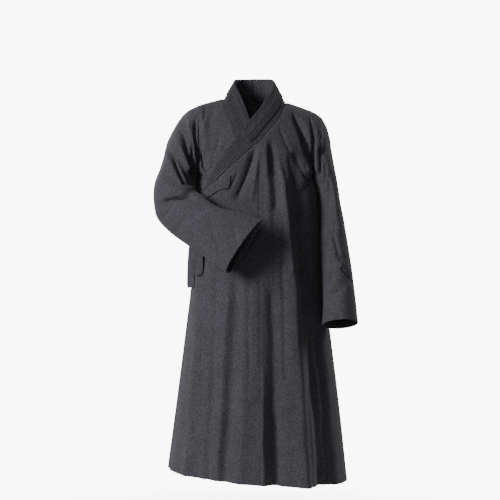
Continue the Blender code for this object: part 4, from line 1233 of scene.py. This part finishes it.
def buildKnot():
    # three turns of cloth pulled into one lump
    bm = bmesh.new()
    bmesh.ops.create_uvsphere(bm, u_segments=72, v_segments=44, radius=1)
    size, centre = Vector(tieCut["knotSize"]), Vector(tieCut["knot"])
    for vert in bm.verts:
        p = vert.co.normalized()
        angle, polar = math.atan2(p.y, p.x), math.acos(max(-1, min(1, p.z)))
        turn = abs(math.cos(1.5 * (angle + 1.4 * math.cos(polar))))
        crease = math.sin(9 * polar + 3 * angle) * 0.012
        grow = 0.90 + 0.16 * turn**0.5 * math.sin(polar) + crease
        vert.co = Vector((p.x * size.x, p.y * size.y, p.z * size.z)) * grow + centre
    return toPiece("side_knot", bm, wool)


def buildTies():
    knot, knotSize = tieCut["knot"], tieCut["knotSize"]
    onBand = bandThick / 2 + seamGap + tieThick / 2 + tieSlack
    onCloth = clothThick / 2 + seamGap + tieThick / 2 + tieSlack
    # the base, as shares of the trunk's half width and levels, from the collar to the knot
    count, across = steps(0.13, 0.0025), 14
    rows = between([(-0.44, -0.278), (-0.62, -0.286), (-0.80, -0.312), (-0.93, -0.350)], count)
    z = rows[:, 1:] + np.linspace(-0.5, 0.5, across + 1)[None, :] * np.linspace(0.040, 0.032, count)[:, None]
    x = rows[:, :1] * halfWidth(rows[:, :1] + 0 * z, z)
    points = trunkPoint(x, z, fore, np.linspace(onBand, onCloth, count)[:, None] + 0 * z)[::-1]
    base = (points[:, ::-1], -gridNormals(points)[:, ::-1])

    # the side tie comes round from the back
    reach = float(halfWidth(np.array(-1.0), knot[2])) + onCloth + tieSlack
    path = [(-reach + 0.0038, 0.036, knot[2]), (-reach + 0.0008, 0.020, knot[2])]
    path += [(-reach - 0.0002, 0.004, knot[2]), (-reach, knot[1] + knotSize[1] + 2 * seamGap, knot[2])]
    side = ribbon(resample(path, 22), [(-1.0, 0.0, 0.08)] * 22, tieCut["sideWidth"])

    # the two ends hang from the knot
    knotEnd = knot[2] - knotSize[2] - 3 * seamGap
    count = steps(0.18, 0.003)
    narrow = between([(0.36,), (0.8,), (1.0,), (1.0,)], count)[:, 0]
    path = [(knot[0] + 0.002, knot[1] - 0.010, knotEnd), (-0.204, -0.082, -0.470)]
    path += [(-0.190, -0.102, -0.520), (-0.1905, -0.100, -0.575)]
    facing = between([(-0.9, -0.4, 0.1), (-0.5, -0.9, 0.1), (-0.4, -0.92, 0.0), (-0.4, -0.92, 0.0)], count)
    front = ribbon(resample(path, count), facing, tieCut["frontWidth"], narrow)
    path = [(knot[0] - 0.003, knot[1] + 0.014, knotEnd - 0.002)]
    path += [(-0.214, -0.040, -0.490), (-0.2125, -0.058, -0.617)]
    facing = between([(-0.95, -0.2, 0.0), (-0.8, -0.6, 0.0), (-0.75, -0.66, 0.0)], count)
    back = ribbon(resample(path, count), facing, tieCut["backWidth"], narrow)
    return base, side, front, back


def buildTape():
    # the strip that covers the centre-back seam inside
    rows = steps(1.22, 0.006)
    top = float(topLine(None, np.zeros(1), rear)[0]) - 0.003
    z = np.linspace(hemLevel + 0.006, top, rows + 1)[:, None] + np.zeros(7)
    x = np.linspace(-0.5, 0.5, 7) * trunkCut["tape"] + 0 * z
    depth = trunkCut["tapeDepth"] + 0.002 * ease((z + 0.17) / 0.05)
    points = trunkPoint(x, z, rear, -depth)[:, ::-1]
    return points, gridNormals(points)


panels, outerParts, innerParts = buildTrunk()
tape = buildTape()
collar = buildCollar(outerParts, innerParts)
print("panels and collar shaped")
rightSleeve, rightFacing = buildSleeve(rightSleeveRings, -1)
leftSleeve, leftFacing = buildSleeve(leftSleeveRings, 1)
tieGrids = buildTies()
print("sleeves and ties shaped")

panelLook = (clothThick, wool, "wool")
bandLook = (bandThick, collarWool, "collar_wool")
tieLook = (tieThick, wool, "wool")
# name: grid, look, the solid it stands for, flat size, flat area, what it lies on
cloths = {
    "front_left": (panels[0], panelLook, "left_front", (0.45, 1.30), 0.40, ["band_outer"]),
    "front_overlap": (panels[1], panelLook, "overlap", (0.37, 1.08), 0.29, ["front_left"]),
    "front_right": (panels[2], panelLook, "right_front", (0.49, 1.28), 0.39, ["band_inner"]),
    "back_right": (panels[3], panelLook, "right_back", (0.42, 1.29), 0.37, ["band_inner"]),
    "back_left": (panels[4], panelLook, "left_back", (0.44, 1.30), 0.39, ["band_outer"]),
    "back_seam_tape": (tape, (0.001, wool, "wool"), None, (0.014, 1.22), None, ["back_left", "back_right"]),
    "band_outer": (collar[0][0], bandLook, "collar_outer", (0.065, 0.58), None, ["front_left"]),
    "band_inner": (collar[1][0], bandLook, "collar_inner", (0.065, 0.56), None, ["front_right"]),
    "band_guard": (
        collar[2][0], (clothThick, guardWool, "collar_wool"), "collar_guard", (0.050, 0.73), None,
        ["band_outer", "band_inner"],
    ),
    "sleeve_right": (rightSleeve, panelLook, "right_sleeve", (0.45, 0.62), 0.25, ["front_right", "back_right"]),
    "sleeve_left": (leftSleeve, panelLook, "left_sleeve", (0.45, 0.70), 0.25, ["front_left", "back_left"]),
    "facing_right": (rightFacing, panelLook, "right_cuff_facing", (0.42, 0.028), None, ["sleeve_right"]),
    "facing_left": (leftFacing, panelLook, "left_cuff_facing", (0.38, 0.028), None, ["sleeve_left"]),
    "tie_base_cloth": (tieGrids[0], tieLook, "tie_base", (0.036, 0.13), None, ["band_outer", "front_overlap"]),
    "tie_side_cloth": (tieGrids[1], tieLook, "side_tie", (0.030, 0.048), None, ["front_right"]),
    "tie_front_cloth": (tieGrids[2], tieLook, "tie_end_front", (0.042, 0.17), None, ["side_knot"]),
    "tie_back_cloth": (tieGrids[3], tieLook, "tie_end_back", (0.038, 0.20), None, ["side_knot"]),
}
tubes = ("sleeve_right", "sleeve_left", "facing_right", "facing_left")
hanging = ("tie_front_cloth", "tie_back_cloth")
# the groove masks that paint shade into the colour of the collar's pieces
presses = {"band_outer": collar[0][1], "band_inner": collar[1][1], "band_guard": collar[2][1]}
pieces = {"side_knot": buildKnot()}
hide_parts("tie_knot")
for name, (grid, look, solid, *_) in cloths.items():
    pieces[name] = layCloth(name, grid, *look, name in tubes, presses.get(name))
    if solid:
        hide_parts(solid)
for name, (*_, flat, area, under) in cloths.items():
    held = "hung" if name in hanging else "draped"
print("all cloth laid")
